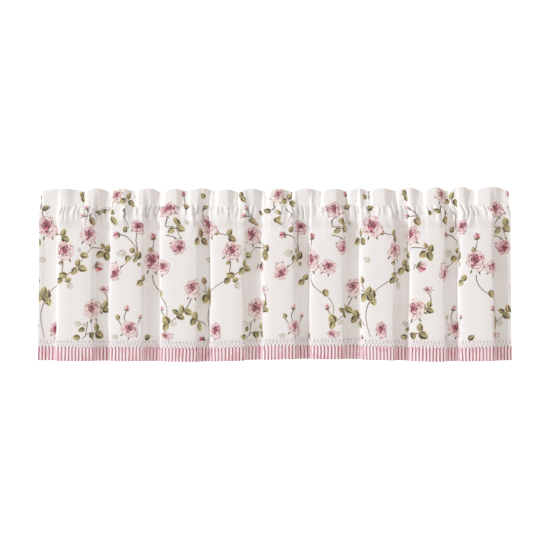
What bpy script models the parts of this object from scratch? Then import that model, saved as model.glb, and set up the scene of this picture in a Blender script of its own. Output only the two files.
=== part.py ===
"""A gathered rod-pocket window valance: a rose-print cloth with a turned heading and rod pocket,
a striped band sewn along the hem, and a lace trim over the joint.

Metres, +Z up. X runs along the rod and the cloth's face looks towards -Y. The origin is the middle
of the valance's top edge, over the axis of the rod.
"""

import bmesh
import bpy
import numpy as np

# Lengths down the cloth, from the top edge.
DROP = 0.457
HEADING = 0.051
POCKET = 0.058
LACE_TOP = 0.400
LACE_WIDTH = 0.0175
BAND_TOP = 0.411

# Half the hung width. The cloth hangs a little wider at its hem than where it is gathered.
TOP_HALF_WIDTH = 0.619
POCKET_HALF_WIDTH = 0.6245
HEM_HALF_WIDTH = 0.628

CLOTH = 0.0012
BAND_CLOTH = 0.0020
LACE_CLOTH = 0.0010
GAP = 0.0003
STITCH_GAP = 0.0004

# The two layers of the heading stand this much further off their middle at the top than at the stitching,
# and the pocket's front wall leaves the stitching over the seam roll.
LAYER_SPREAD = 0.0009
SEAM_ROLL = 0.010

# The rod's space inside the pocket.
ROD_CLEAR = 0.0095
ROD_AXIS_DOWN = HEADING + 0.016
ROD_ZONE_END = HEADING + 0.029

# Organ-pipe folds of the panel, from left to right: a recessed stretch, then the raised front beside it.
FOLDS = [
    # recess, front, depth, crown
    (0.0415, 0.1032, 0.022, 0.0055),
    (0.0424, 0.0899, 0.023, 0.0060),
    (0.0450, 0.0953, 0.024, 0.0065),
    (0.0344, 0.0926, 0.023, 0.0060),
    (0.0476, 0.0873, 0.025, 0.0065),
    (0.0397, 0.0873, 0.023, 0.0060),
    (0.0477, 0.0873, 0.025, 0.0065),
    (0.0397, 0.0952, 0.023, 0.0060),
    (0.0398, 0.0925, 0.023, 0.0060),
]
LAST_RECESS = 0.0471
LEFT_FLANK = 0.010
RIGHT_FLANK = 0.014
CROWN_AT = 0.42
PANEL_PLANE = -0.004

# Soft bumps of the heading, from left to right. A higher roundness narrows their crests.
BUMP_ROUNDNESS = 1.3
END_DIP = 0.004
BUMPS = [
    # width, forward, dip of the edge after it, rise of the edge over it
    (0.114, 0.008, 0.006, 0.000),
    (0.069, 0.011, 0.009, 0.001),
    (0.066, 0.010, 0.006, -0.001),
    (0.071, 0.011, 0.012, 0.001),
    (0.066, 0.010, 0.006, 0.000),
    (0.074, 0.011, 0.007, 0.001),
    (0.058, 0.009, 0.008, -0.002),
    (0.077, 0.012, 0.009, 0.000),
    (0.066, 0.010, 0.008, 0.000),
    (0.077, 0.012, 0.006, 0.001),
    (0.069, 0.010, 0.006, 0.000),
    (0.058, 0.009, 0.006, 0.001),
    (0.071, 0.011, 0.006, 0.001),
    (0.071, 0.010, 0.008, 0.003),
    (0.066, 0.011, 0.006, 0.004),
    (0.069, 0.010, 0.005, 0.005),
    (0.093, 0.009, 0.004, 0.005),
]

# How far the hem hangs below or above the nominal drop, at places along the rod.
HEM_SAG = [
    # place, lower by
    (-0.630, -0.0020),
    (-0.300, -0.0005),
    (-0.190, 0.0010),
    (0.020, -0.0060),
    (0.200, -0.0060),
    (0.420, 0.0005),
    (0.630, -0.0020),
]

# How strongly the heading's bumps and the panel's folds show, down the cloth.
BUMP_SHARE = [(0.0, 1.0), (HEADING, 0.40), (HEADING + POCKET, 0.12), (HEADING + POCKET + 0.045, 0.0)]
FOLD_SHARE = [(0.0, 0.10), (HEADING, 0.25), (HEADING + POCKET, 0.80), (HEADING + POCKET + 0.045, 1.0)]
ROD_BUMP_SHARE = 0.20
ROD_FOLD_SHARE = 0.38
BACK_FOLD_SHARE = 0.15

# Distances down the cloth where a solid has a row of points.
RUFFLE_ROWS = (0.002, 0.012, 0.032)
FRONT_WALL_ROWS = (0.0, 0.005, 0.016, 0.029, 0.045, POCKET)
BACK_WALL_ROWS = (0.0, 0.006, 0.016, 0.029, POCKET)
PANEL_ROWS = (HEADING + POCKET, 0.130, 0.154, 0.270)

# Columns of points over each raised front, and steps of the curves they are read from.
HEADING_FRONT_COLUMNS = 6
PANEL_FRONT_COLUMNS = 4
FINE = 4001

COLOURS = {
    "rose_print": (0.86, 0.83, 0.80, 1.0),
    "pink_stripe": (0.78, 0.48, 0.52, 1.0),
    "lace_white": (0.88, 0.86, 0.85, 1.0),
}


def eased(t):
    """0 to 1 with level ends."""
    t = np.clip(t, 0.0, 1.0)
    return t * t * (3.0 - 2.0 * t)


def share(table, down):
    """A table's value at a distance down the cloth, eased between its rows."""
    for (start, low), (end, high) in zip(table, table[1:]):
        if down <= end:
            return low + (high - low) * float(eased((down - start) / (end - start)))
    return table[-1][1]


def fold_fronts():
    """Each raised front of the panel: left edge, right edge, depth and crown."""
    total = sum(recess + front for recess, front, _, _ in FOLDS) + LAST_RECESS
    scale = 2.0 * HEM_HALF_WIDTH / total
    fronts = []
    x = -HEM_HALF_WIDTH
    for recess, front, depth, crown in FOLDS:
        left = x + recess * scale
        x = left + front * scale
        fronts.append((left, x, depth, crown))
    return fronts


def fold_shape(x):
    """How far the panel's folds stand forward at places along the hem, about their middle plane."""
    forward = np.zeros_like(x)
    for left, right, depth, crown in fold_fronts():
        rise = eased((x - left) / LEFT_FLANK + 0.5)
        fall = eased((x - right) / RIGHT_FLANK + 0.5)
        top = left + (right - left) * CROWN_AT
        side = np.where(x < top, top - left, right - top)
        arch = np.clip(1.0 - ((x - top) / side) ** 2, 0.0, 1.0)
        forward += (rise - fall) * depth + crown * arch
    middle = sum(depth for _, _, depth, _ in FOLDS) / len(FOLDS) / 2.0
    return forward - middle


def bump_shape(x):
    """The heading's bumps at places along the top: how far forward, and the top edge's height."""
    total = sum(width for width, _, _, _ in BUMPS)
    scale = 2.0 * HEM_HALF_WIDTH / total
    forward = np.zeros_like(x)
    edge = np.zeros_like(x)
    start = -HEM_HALF_WIDTH
    dip_before = END_DIP
    for width, depth, dip, rise in BUMPS:
        end = start + width * scale
        inside = (x >= start - 1e-9) & (x <= end + 1e-9)
        t = (x[inside] - start) / (end - start)
        crest = np.sin(np.pi * t) ** BUMP_ROUNDNESS
        forward[inside] = depth * (2.0 * crest - 1.0)
        edge[inside] = rise * crest - (dip_before * (1.0 - t) + dip * t) * (1.0 - crest)
        start = end
        dip_before = dip
    return forward, edge


def half_width(down):
    """Half the hung width at a distance down the cloth."""
    places = (0.0, HEADING, HEADING + 0.012, HEADING + POCKET, DROP)
    widths = (TOP_HALF_WIDTH, TOP_HALF_WIDTH, POCKET_HALF_WIDTH, POCKET_HALF_WIDTH, HEM_HALF_WIDTH)
    return float(np.interp(down, places, widths))


def hung_plane(x, down):
    """The single cloth's place in depth where no rod parts it."""
    bumps, _ = bump_shape(x)
    plane = PANEL_PLANE * float(eased(down / (HEADING + POCKET)))
    return plane - share(BUMP_SHARE, down) * bumps - share(FOLD_SHARE, down) * fold_shape(x)


def rod_wall(x, side):
    """The pocket wall's place in depth beside the rod: side is -1 in front and 1 behind."""
    bumps, _ = bump_shape(x)
    folds = fold_shape(x)
    bumps = bumps - bumps.min()
    clear = ROD_CLEAR + CLOTH
    if side < 0:
        return -clear - ROD_BUMP_SHARE * bumps - ROD_FOLD_SHARE * (folds - folds.min())
    return clear + BACK_FOLD_SHARE * (folds.max() - folds)


def offset_curve(x, y, distance):
    """A plan curve moved sideways by a distance, towards +Y where it runs along +X."""
    run = np.stack([np.diff(x), np.diff(y)])
    run = run / np.linalg.norm(run, axis=0)
    side = np.stack([-run[1], run[0]])
    before = np.concatenate([side[:, :1], side], axis=1)
    after = np.concatenate([side, side[:, -1:]], axis=1)
    mitre = before + after
    mitre = 2.0 * mitre / (mitre * mitre).sum(axis=0)
    return x + distance * mitre[0], y + distance * mitre[1]


def sampled(x, y, columns):
    """The points of a plan curve at shares of its own length."""
    run = np.hypot(np.diff(x), np.diff(y))
    along = np.concatenate([[0.0], np.cumsum(run)])
    along = along / along[-1]
    return np.interp(columns, along, x), np.interp(columns, along, y)


def rod_share(down):
    """How far the pocket's walls have parted for the rod: round over its top, drawn in below it."""
    if down < ROD_AXIS_DOWN:
        over_axis = (ROD_AXIS_DOWN - down) / (ROD_AXIS_DOWN - HEADING)
        return (1.0 - over_axis ** 2) ** 0.5
    return 1.0 - float(eased((down - ROD_ZONE_END) / (HEADING + POCKET - ROD_ZONE_END)))


def plan_row(down, columns, side=0, offset=0.0):
    """One row of points across the cloth, as plan coordinates.

    side is -1 for the pocket's front wall, 1 for its back wall and 0 for the cloth elsewhere.
    """
    x = np.linspace(-HEM_HALF_WIDTH, HEM_HALF_WIDTH, FINE)
    y = hung_plane(x, down)
    if side:
        y = y + (rod_wall(x, side) - y) * rod_share(down)
    x = x * half_width(down) / HEM_HALF_WIDTH
    row_x, row_y = sampled(x, y, columns)
    return offset_curve(row_x, row_y, offset)


def fold_columns(over_front):
    """Shares of the flat width at which a solid has a column: the flanks, fronts and recesses."""
    places = [-HEM_HALF_WIDTH]
    last_right = -HEM_HALF_WIDTH
    for left, right, _, _ in fold_fronts():
        places.append((last_right + left) / 2.0)
        places += [left - LEFT_FLANK / 2.0, left, left + LEFT_FLANK / 2.0]
        inner_left, inner_right = left + LEFT_FLANK, right - RIGHT_FLANK
        places += list(np.linspace(inner_left, inner_right, over_front))
        places += [right - RIGHT_FLANK / 2.0, right, right + RIGHT_FLANK / 2.0]
        last_right = right
    places += [(last_right + HEM_HALF_WIDTH) / 2.0, HEM_HALF_WIDTH]
    x = np.linspace(-HEM_HALF_WIDTH, HEM_HALF_WIDTH, FINE)
    y = hung_plane(x, DROP)
    along = np.concatenate([[0.0], np.cumsum(np.hypot(np.diff(x), np.diff(y)))])
    return np.interp(sorted(places), x, along / along[-1])


def sheet(name, rows, thickness, colour, collection):
    """A sheet solid from rows of points, built as a grid, laid in place and given its thickness."""
    across, up = len(rows[0]), len(rows)
    grid = bmesh.new()
    bmesh.ops.create_grid(grid, x_segments=across - 1, y_segments=up - 1, size=0.5)
    for vertex in grid.verts:
        column = round((vertex.co.x + 0.5) * (across - 1))
        row = round((vertex.co.y + 0.5) * (up - 1))
        vertex.co = rows[row][column]
    mesh = bpy.data.meshes.new(name)
    grid.to_mesh(mesh)
    grid.free()
    mesh.materials.append(material(colour))
    solid = bpy.data.objects.new(name, mesh)
    collection.objects.link(solid)
    wall = solid.modifiers.new("cloth_thickness", "SOLIDIFY")
    wall.thickness = thickness
    wall.offset = 0.0
    wall.use_even_offset = True
    mesh.shade_smooth()
    return solid


def material(name):
    """The named cloth's material."""
    made = bpy.data.materials.get(name)
    if made is None:
        made = bpy.data.materials.new(name)
        made.use_nodes = True
        shader = made.node_tree.nodes["Principled BSDF"]
        shader.inputs["Base Color"].default_value = COLOURS[name]
        shader.inputs["Roughness"].default_value = 0.85
        shader.inputs["Metallic"].default_value = 0.0
    return made


def spatial(plan, height):
    """Points of a row from its plan curve and its height, one number or one for each point."""
    x, y = plan
    return np.stack([x, y, np.broadcast_to(height, x.shape)], axis=1)


def edge_height(x):
    """The top edge's height over the nominal one."""
    _, edge = bump_shape(np.clip(x * HEM_HALF_WIDTH / TOP_HALF_WIDTH, -HEM_HALF_WIDTH, HEM_HALF_WIDTH))
    return edge


def hem_drop(x, down):
    """How much lower a row lies where the hem sags, growing down the cloth."""
    places, lower = zip(*HEM_SAG)
    grow = float(eased((down - HEADING - POCKET) / (DROP - HEADING - POCKET)))
    return np.interp(x, places, lower) * grow


def ruffle_row(down, columns, layer):
    """A row of the heading over the pocket. layer is -1 in front, 1 behind and 0 at the turned edge."""
    apart = CLOTH / 2.0 + STITCH_GAP / 2.0 + LAYER_SPREAD * float(eased(1.0 - down / HEADING))
    x, y = plan_row(down, columns, offset=layer * apart)
    height = -down + edge_height(x) * (1.0 - down / HEADING)
    return spatial((x, y), height)


def pocket_row(down, columns, side):
    """A row of the pocket's front or back wall."""
    near = CLOTH / 2.0 + STITCH_GAP / 2.0
    if side < 0:
        offset = -near * (1.0 - float(eased((down - HEADING) / SEAM_ROLL)))
    else:
        closing = float(eased((down - ROD_ZONE_END) / (HEADING + POCKET - ROD_ZONE_END)))
        offset = near * (1.0 + closing)
    return spatial(plan_row(down, columns, side=side, offset=offset), -down)


def heading(columns, collection):
    """The heading and rod pocket: one turned-over stretch of cloth, sewn down at two lines."""
    rows = [pocket_row(HEADING + into, columns, 1) for into in reversed(BACK_WALL_ROWS)]
    rows += [ruffle_row(down, columns, 1) for down in reversed(RUFFLE_ROWS)]
    rows.append(ruffle_row(0.0, columns, 0))
    rows += [ruffle_row(down, columns, -1) for down in RUFFLE_ROWS]
    rows += [pocket_row(HEADING + into, columns, -1) for into in FRONT_WALL_ROWS]
    return sheet("heading", rows, CLOTH, "rose_print", collection)


def hung_row(down, columns, offset=0.0):
    """A row of the single cloth below the pocket."""
    x, y = plan_row(down, columns, offset=offset)
    return spatial((x, y), -down - hem_drop(x, down))


def panel(columns, collection):
    """The single cloth from the pocket's lower seam to the striped band."""
    ends = [PANEL_ROWS[0] + GAP, *PANEL_ROWS[1:], BAND_TOP - GAP]
    rows = [hung_row(down, columns) for down in reversed(ends)]
    return sheet("rose_panel", rows, CLOTH, "rose_print", collection)


def band(columns, collection):
    """The striped band, a strip folded double along the hem."""
    rows = [hung_row(down, columns) for down in (DROP, (DROP + BAND_TOP) / 2.0, BAND_TOP)]
    return sheet("stripe_band", rows, BAND_CLOTH, "pink_stripe", collection)


def lace(columns, collection):
    """The flat lace laid over the joint of panel and band, on their front."""
    forward = -(BAND_CLOTH / 2.0 + GAP + LACE_CLOTH / 2.0)
    rows = [hung_row(down, columns, forward) for down in (LACE_TOP + LACE_WIDTH, LACE_TOP)]
    return sheet("lace_trim", rows, LACE_CLOTH, "lace_white", collection)


def main():
    """Clears the scene and builds the valance's four sewn pieces."""
    for old in list(bpy.data.objects):
        bpy.data.objects.remove(old)
    collection = bpy.data.collections.new("window_valance")
    bpy.context.scene.collection.children.link(collection)
    heading(fold_columns(HEADING_FRONT_COLUMNS), collection)
    columns = fold_columns(PANEL_FRONT_COLUMNS)
    panel(columns, collection)
    band(columns, collection)
    lace(columns, collection)


if __name__ == "__main__":
    main()
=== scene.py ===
"""The looks of a gathered rod-pocket window valance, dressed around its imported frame.

The cloth is modelled as it was cut: every sheet is laid out flat, with its printed rose pattern drawn
on the flat, and each of its points is then carried to the place where the gathered cloth hangs.
Metres, +Z up; the printed face looks towards -Y and the rod's axis runs along X.
"""

import logging
import math
import random
from dataclasses import dataclass, field
from enum import Enum

import bpy
import numpy as np
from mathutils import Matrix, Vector
from mathutils.geometry import delaunay_2d_cdt


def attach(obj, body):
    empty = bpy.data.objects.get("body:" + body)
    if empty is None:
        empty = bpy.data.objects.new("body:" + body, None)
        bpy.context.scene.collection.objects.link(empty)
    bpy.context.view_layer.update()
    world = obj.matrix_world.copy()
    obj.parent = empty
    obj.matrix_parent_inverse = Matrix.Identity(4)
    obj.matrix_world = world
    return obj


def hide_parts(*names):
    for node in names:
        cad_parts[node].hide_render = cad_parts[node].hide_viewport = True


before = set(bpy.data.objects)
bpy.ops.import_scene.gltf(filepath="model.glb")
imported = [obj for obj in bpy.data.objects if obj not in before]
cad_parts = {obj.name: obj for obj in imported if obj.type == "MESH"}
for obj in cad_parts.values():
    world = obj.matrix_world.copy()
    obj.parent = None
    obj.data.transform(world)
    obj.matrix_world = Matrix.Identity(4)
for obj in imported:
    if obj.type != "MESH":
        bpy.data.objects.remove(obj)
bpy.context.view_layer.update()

LOG = logging.getLogger("valance")
Array = np.ndarray
Colour = tuple[float, float, float, float]
Material = bpy.types.Material
Pair = tuple[float, float]
Socket = bpy.types.NodeSocket
BODY = "root"
FLAT_MAP = "cloth"
INK_LAYER = "print_ink"

# The cut and hung sizes, the same as the frame's.
DROP = 0.457
HEADING = 0.051
POCKET = 0.058
SEAM = HEADING + POCKET
LACE_TOP = 0.4015
LACE_WIDTH = 0.0190
BAND_TOP = 0.411
TOP_HALF_WIDTH = 0.619
POCKET_HALF_WIDTH = 0.6245
HEM_HALF_WIDTH = 0.628
LEFT_EDGE = -HEM_HALF_WIDTH
SIDE_HEM = 0.012


def linear(red: float, green: float, blue: float) -> Colour:
    """Turns a display colour of 0 to 255 into a linear one.

    Args:
        red: Red, 0 to 255.
        green: Green, 0 to 255.
        blue: Blue, 0 to 255.

    Returns:
        The linear colour with an alpha of 1.
    """
    parts = []
    for value in (red, green, blue):
        share = value / 255.0
        parts.append(share / 12.92 if share <= 0.04045 else ((share + 0.055) / 1.055) ** 2.4)
    return (parts[0], parts[1], parts[2], 1.0)


def eased(t: Array | float) -> Array | float:
    """Rises from 0 to 1 with level ends as t goes from 0 to 1."""
    t = np.clip(t, 0.0, 1.0)
    return t * t * (3.0 - 2.0 * t)


def staged(table: list[Pair], down: float) -> float:
    """Reads a table of places and values, eased between its rows.

    Args:
        table: Rows of distance down the cloth and value there.
        down: The distance down the cloth that is asked for.

    Returns:
        The value at that distance.
    """
    for (start, low), (end, high) in zip(table, table[1:]):
        if down <= end:
            return low + (high - low) * float(eased((down - start) / (end - start)))
    return table[-1][1]


@dataclass(frozen=True)
class Fold:
    """One organ-pipe fold: the recess on its left, then the raised front.

    Widths and depths are in metres; lean is how much further back the recess lies on its right side.
    """

    recess: float
    front: float
    depth: float
    crown: float
    lean: float


@dataclass(frozen=True)
class Bump:
    """One soft bump of the heading: its width, how far it stands forward, and the top edge over it."""

    width: float
    forward: float
    dip: float
    rise: float


@dataclass(frozen=True)
class Pucker:
    """A crease drawn in by the gathering stitches.

    place is its distance from the left edge where it crosses the stitching, depth is how far it is
    drawn back, width its half width, reach how far it runs below the stitching, above how far over it,
    and lean how far sideways it drifts over its reach.
    """

    place: float
    depth: float
    width: float
    reach: float
    above: float
    lean: float


@dataclass
class HungCloth:
    """The gathered cloth: where each point of the flat cut hangs."""

    folds: tuple[Fold, ...] = (
        Fold(0.0508, 0.0997, 0.023, 0.0042, 0.005),
        Fold(0.0425, 0.0905, 0.024, 0.0046, 0.006),
        Fold(0.0440, 0.1020, 0.025, 0.0050, 0.007),
        Fold(0.0300, 0.0955, 0.024, 0.0046, 0.006),
        Fold(0.0455, 0.0890, 0.026, 0.0048, 0.007),
        Fold(0.0385, 0.0900, 0.024, 0.0044, 0.006),
        Fold(0.0445, 0.0925, 0.026, 0.0048, 0.004),
        Fold(0.0370, 0.0985, 0.024, 0.0046, 0.006),
        Fold(0.0345, 0.0945, 0.024, 0.0044, 0.006),
    )
    last_recess: float = 0.0471
    last_lean: float = 0.004
    bumps: tuple[Bump, ...] = (
        Bump(0.114, 0.0053, 0.006, 0.000),
        Bump(0.069, 0.0073, 0.009, 0.001),
        Bump(0.066, 0.0066, 0.006, -0.001),
        Bump(0.071, 0.0073, 0.012, 0.001),
        Bump(0.066, 0.0066, 0.006, 0.000),
        Bump(0.074, 0.0073, 0.007, 0.001),
        Bump(0.058, 0.0059, 0.008, -0.002),
        Bump(0.077, 0.0079, 0.009, 0.000),
        Bump(0.066, 0.0066, 0.008, 0.000),
        Bump(0.077, 0.0079, 0.006, 0.001),
        Bump(0.069, 0.0066, 0.006, 0.000),
        Bump(0.058, 0.0059, 0.006, 0.001),
        Bump(0.071, 0.0073, 0.006, 0.001),
        Bump(0.071, 0.0066, 0.008, 0.003),
        Bump(0.066, 0.0073, 0.006, 0.004),
        Bump(0.069, 0.0066, 0.005, 0.005),
        Bump(0.093, 0.0059, 0.004, 0.005),
    )
    bump_roundness: float = 1.3
    bump_flank: float = 0.011
    bump_front: float = 0.56
    bump_recess: float = 0.18
    end_dip: float = 0.004
    left_flank: float = 0.007
    right_flank: float = 0.012
    crown_at: float = 0.42
    rod_clear: float = 0.0094
    rod_reach: float = 0.0088
    rod_axis_down: float = HEADING + 0.016
    rod_zone_end: float = HEADING + 0.029
    layer_apart: float = 0.0008
    layer_spread: float = 0.0009
    seam_roll: float = 0.010
    fold_wander: float = 0.0016
    crease_window: float = 0.018
    stitch_notch: float = 0.0016
    notch_reach: float = 0.0017
    parting_early: float = 0.0015
    parting_over: float = 0.0115
    rod_reach_above: float = 0.0085
    rod_reach_below: float = 0.004
    back_creases_end: float = 0.012
    turned_top: float = 0.004
    side_hem_step: float = 0.0004
    side_hem_edge: float = 0.0008
    half_widths: tuple[Pair, ...] = (
        (0.0, TOP_HALF_WIDTH), (HEADING, TOP_HALF_WIDTH), (HEADING + 0.012, POCKET_HALF_WIDTH),
        (SEAM, POCKET_HALF_WIDTH), (DROP, HEM_HALF_WIDTH))
    middle_plane: tuple[Pair, ...] = (
        (0.0, -0.0045), (HEADING, -0.0080), (SEAM, -0.0055), (SEAM + 0.045, -0.0045))
    bump_share: tuple[Pair, ...] = (
        (0.0, 0.80), (HEADING, 0.50), (SEAM, 0.12), (SEAM + 0.045, 0.0))
    fold_share: tuple[Pair, ...] = (
        (0.0, 0.12), (HEADING, 0.46), (SEAM, 0.85), (SEAM + 0.045, 1.0))
    rod_bump_share: float = 0.22
    rod_fold_share: tuple[Pair, ...] = ((HEADING, 0.38), (HEADING + 0.010, 0.43), (SEAM - 0.020, 0.57))
    back_fold_share: float = 0.15
    hem_sag: tuple[Pair, ...] = (
        (-0.630, -0.0020), (-0.300, -0.0005), (-0.190, 0.0010), (0.020, -0.0060),
        (0.200, -0.0060), (0.420, 0.0005), (0.630, -0.0020))
    puckers: list[Pucker] = field(default_factory=list)
    fine: int = 5001
    across: int = 1601

    def __post_init__(self) -> None:
        """Places the puckers and works out the grid of hung points."""
        self.puckers = gathered_puckers()
        back = -np.concatenate([np.arange(SEAM, 0.004, -0.0015), [0.004, 0.003, 0.002, 0.0012, 0.0006]])
        front = np.concatenate([[0.0, 0.0006, 0.0012, 0.002, 0.003, 0.004], np.arange(0.0055, SEAM, 0.0015)])
        upper, lower = np.arange(SEAM, SEAM + 0.05, 0.003), np.arange(SEAM + 0.05, DROP, 0.006)
        self.rows = np.unique(np.round(np.concatenate([back, front, upper, lower, [DROP]]), 6))
        points = [self.row(float(down)) for down in self.rows]
        self.points = np.array(points)
        self.flat_width = self.length_at(DROP)
        step_s = np.gradient(self.points, axis=1)
        step_d = np.gradient(self.points, self.rows, axis=0)
        normals = np.cross(step_s, -step_d)
        self.normals = normals / np.linalg.norm(normals, axis=2, keepdims=True)

    def fronts(self, down: float) -> list[tuple[float, float, Fold]]:
        """Places the raised fronts along the hem's width.

        Args:
            down: The distance down the cloth, which the edges of the folds wander with.

        Returns:
            The left and right edge of each front, and its fold.
        """
        total = sum(fold.recess + fold.front for fold in self.folds) + self.last_recess
        scale = 2.0 * HEM_HALF_WIDTH / total
        found = []
        x = LEFT_EDGE
        for number, fold in enumerate(self.folds):
            left = x + fold.recess * scale
            x = left + fold.front * scale
            sway = math.sin(9.0 * down + 1.7 * number) + 0.6 * math.sin(25.0 * down + 2.9 * number)
            drift = self.fold_wander * sway
            found.append((left + drift, x - drift * 0.8, fold))
        return found

    def fold_shape(self, x: Array, down: float) -> Array:
        """How far the folds stand forward of their middle plane.

        Args:
            x: Places along the hem.
            down: The distance down the cloth.

        Returns:
            The forward distance at each place.
        """
        forward = np.zeros_like(x)
        fronts = self.fronts(down)
        lefts = [left for left, _, _ in fronts] + [HEM_HALF_WIDTH]
        leans = [fold.lean for _, _, fold in fronts][1:] + [self.last_lean]
        outside = np.clip((lefts[0] - x) / (lefts[0] - LEFT_EDGE), 0, 1)
        forward += self.folds[0].lean * (x < lefts[0]) * outside
        for number, (left, right, fold) in enumerate(fronts):
            rise = eased((x - left) / self.left_flank + 0.5)
            fall = eased((x - right) / self.right_flank + 0.5)
            top = left + (right - left) * self.crown_at
            side = np.where(x < top, top - left, right - top)
            arch = np.clip(1.0 - np.abs((x - top) / side) ** 3.0, 0.0, 1.0)
            forward += (rise - fall) * fold.depth + fold.crown * arch
            following = lefts[number + 1]
            across = np.clip((x - right) / (following - right), 0.0, 1.0)
            gone = eased((x - following) / self.left_flank + 0.5)
            forward += leans[number] * fall * (1.0 - across) * (1.0 - gone)
        middle = sum(fold.depth for fold in self.folds) / len(self.folds) / 2.0
        return forward - middle

    def bump_shape(self, x: Array) -> tuple[Array, Array]:
        """The heading's bumps.

        Args:
            x: Places along the heading.

        Returns:
            How far each place stands forward, and the top edge's height there.
        """
        total = sum(bump.width for bump in self.bumps)
        scale = 2.0 * HEM_HALF_WIDTH / total
        forward = np.zeros_like(x)
        edge = np.zeros_like(x)
        start = LEFT_EDGE
        dip_before = self.end_dip
        for bump in self.bumps:
            end = start + bump.width * scale
            inside = (x >= start - 1e-9) & (x <= end + 1e-9)
            t = np.clip((x[inside] - start) / (end - start), 0.0, 1.0)
            crest = np.sin(np.pi * t) ** self.bump_roundness
            rise = eased(t * (end - start) / self.bump_flank)
            fall = eased((t - self.bump_front) / (1.0 - self.bump_recess - self.bump_front))
            swell = np.sin(0.5 * np.pi * np.minimum(t / self.bump_front, 1.0))
            front = (0.66 * rise + 0.34 * swell) * (1.0 - fall)
            forward[inside] = bump.forward * (2.0 * front - 1.0)
            edge[inside] = bump.rise * crest - (dip_before * (1.0 - t) + bump.dip * t) * (1.0 - crest)
            start = end
            dip_before = bump.dip
        return forward, edge

    def pucker_shape(self, x: Array, down: float) -> Array:
        """How far the gathering creases draw the cloth back.

        Args:
            x: Places along the hem's width.
            down: The distance down the cloth.

        Returns:
            The distance back at each place; the cloth bulges forward between the creases, which
            is negative.
        """
        back = np.zeros_like(x)
        below = down - HEADING
        for pucker in self.puckers:
            reach = pucker.reach if below > 0.0 else pucker.above
            gone = abs(below) / reach
            if gone >= 1.0:
                continue
            strength = (1.0 - gone ** 1.5) ** 1.3 if below > 0.0 else (1.0 - gone) ** 1.4
            centre = LEFT_EDGE + pucker.place + pucker.lean * below / pucker.reach
            spread = pucker.width * (0.7 + 0.9 * gone)
            back += pucker.depth * strength * np.exp(-((x - centre) / spread) ** 2)
        reach = int(self.crease_window / (x[1] - x[0]) / 2.0)
        padded = np.pad(back, reach, mode="edge")
        deepest = np.lib.stride_tricks.sliding_window_view(padded, 2 * reach + 1).max(axis=1)
        window = np.hanning(2 * reach + 3)[1:-1]
        return back - np.convolve(np.pad(deepest, reach, mode="edge"), window / window.sum(), mode="valid")

    def half_width(self, down: float) -> float:
        """Half the hung width at a distance down the cloth."""
        places, widths = zip(*self.half_widths)
        return float(np.interp(down, places, widths))

    def hung_plane(self, x: Array, down: float) -> Array:
        """Places the single cloth in depth, apart from its creases.

        Args:
            x: Places along the hem's width.
            down: The distance down the cloth.

        Returns:
            The y at each place.
        """
        bumps, _ = self.bump_shape(x)
        notch = self.stitch_notch * math.exp(-((down - HEADING) / self.notch_reach) ** 2)
        folds = self.fold_shape(x, down)
        plane = staged(self.middle_plane, down) + notch
        return plane - staged(self.bump_share, down) * bumps - staged(self.fold_share, down) * folds

    def rod_wall(self, x: Array, down: float, side: int) -> Array:
        """Places a wall of the pocket in depth, beside the rod's space.

        Args:
            x: Places along the hem's width.
            down: The distance down the cloth.
            side: -1 for the front wall, 1 for the back wall.

        Returns:
            The y at each place.
        """
        bumps, _ = self.bump_shape(x)
        folds = self.fold_shape(x, down)
        if side < 0:
            fold_share = staged(self.rod_fold_share, down)
            forward = self.rod_bump_share * (bumps - bumps.min()) + fold_share * (folds - folds.min())
            return -self.rod_clear - forward
        return self.rod_clear + self.back_fold_share * (folds.max() - folds)

    def rod_share(self, down: float) -> float:
        """Tells how far the pocket's walls have parted for the rod.

        Args:
            down: The distance down the cloth.

        Returns:
            0 where they are together, 1 beside the rod.
        """
        if down < self.rod_axis_down:
            return float(eased((down - HEADING + self.parting_early) / self.parting_over))
        return 1.0 - float(eased((down - self.rod_zone_end) / (SEAM - self.rod_zone_end)))

    def plan(self, down: float, side: int) -> tuple[Array, Array]:
        """The plan curve of the cloth at one level.

        Args:
            down: The distance down the cloth.
            side: -1 for the pocket's front wall, 1 for its back wall, 0 elsewhere.

        Returns:
            The curve's x and y.
        """
        x = np.linspace(LEFT_EDGE, HEM_HALF_WIDTH, self.fine)
        y = self.hung_plane(x, down)
        creases = self.pucker_shape(x, down)
        if side:
            y = y + (self.rod_wall(x, down, side) - y) * self.rod_share(down)
        if side > 0:
            creases = creases * (1.0 - float(eased((down - HEADING) / self.back_creases_end)))
        y = y + creases
        first, last = self.rod_axis_down - self.rod_reach_above, self.rod_zone_end + self.rod_reach_below
        if side < 0 and first < down < last:
            y = np.minimum(y, -self.rod_reach)
        hem = np.minimum(x - LEFT_EDGE, HEM_HALF_WIDTH - x)
        step = self.side_hem_step * (1.0 - eased((hem - SIDE_HEM) / self.side_hem_edge + 0.5))
        return x * self.half_width(down) / HEM_HALF_WIDTH, y - step

    def row(self, down: float) -> Array:
        """One row of hung points, at equal steps of the flat width.

        Args:
            down: The distance from the turned top edge; negative behind it.

        Returns:
            The points.
        """
        layer = 0
        level = abs(down)
        if down < 0.0:
            layer = 1
        elif 0.0 < down < SEAM:
            layer = -1
        in_pocket = level > HEADING and layer != 0
        x, y = self.plan(level, layer if in_pocket else 0)
        run = np.hypot(np.diff(x), np.diff(y))
        along = np.concatenate([[0.0], np.cumsum(run)])
        shares = np.linspace(0.0, along[-1], self.across)
        row_x = np.interp(shares, along, x)
        row_y = np.interp(shares, along, y)
        tangent_x, tangent_y = np.gradient(row_x), np.gradient(row_y)
        length = np.hypot(tangent_x, tangent_y)
        off = self.layer_offset(level, layer)
        row_x = row_x - off * tangent_y / length
        row_y = row_y + off * tangent_x / length
        return np.stack([row_x, row_y, self.height(row_x, level)], axis=1)

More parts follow.
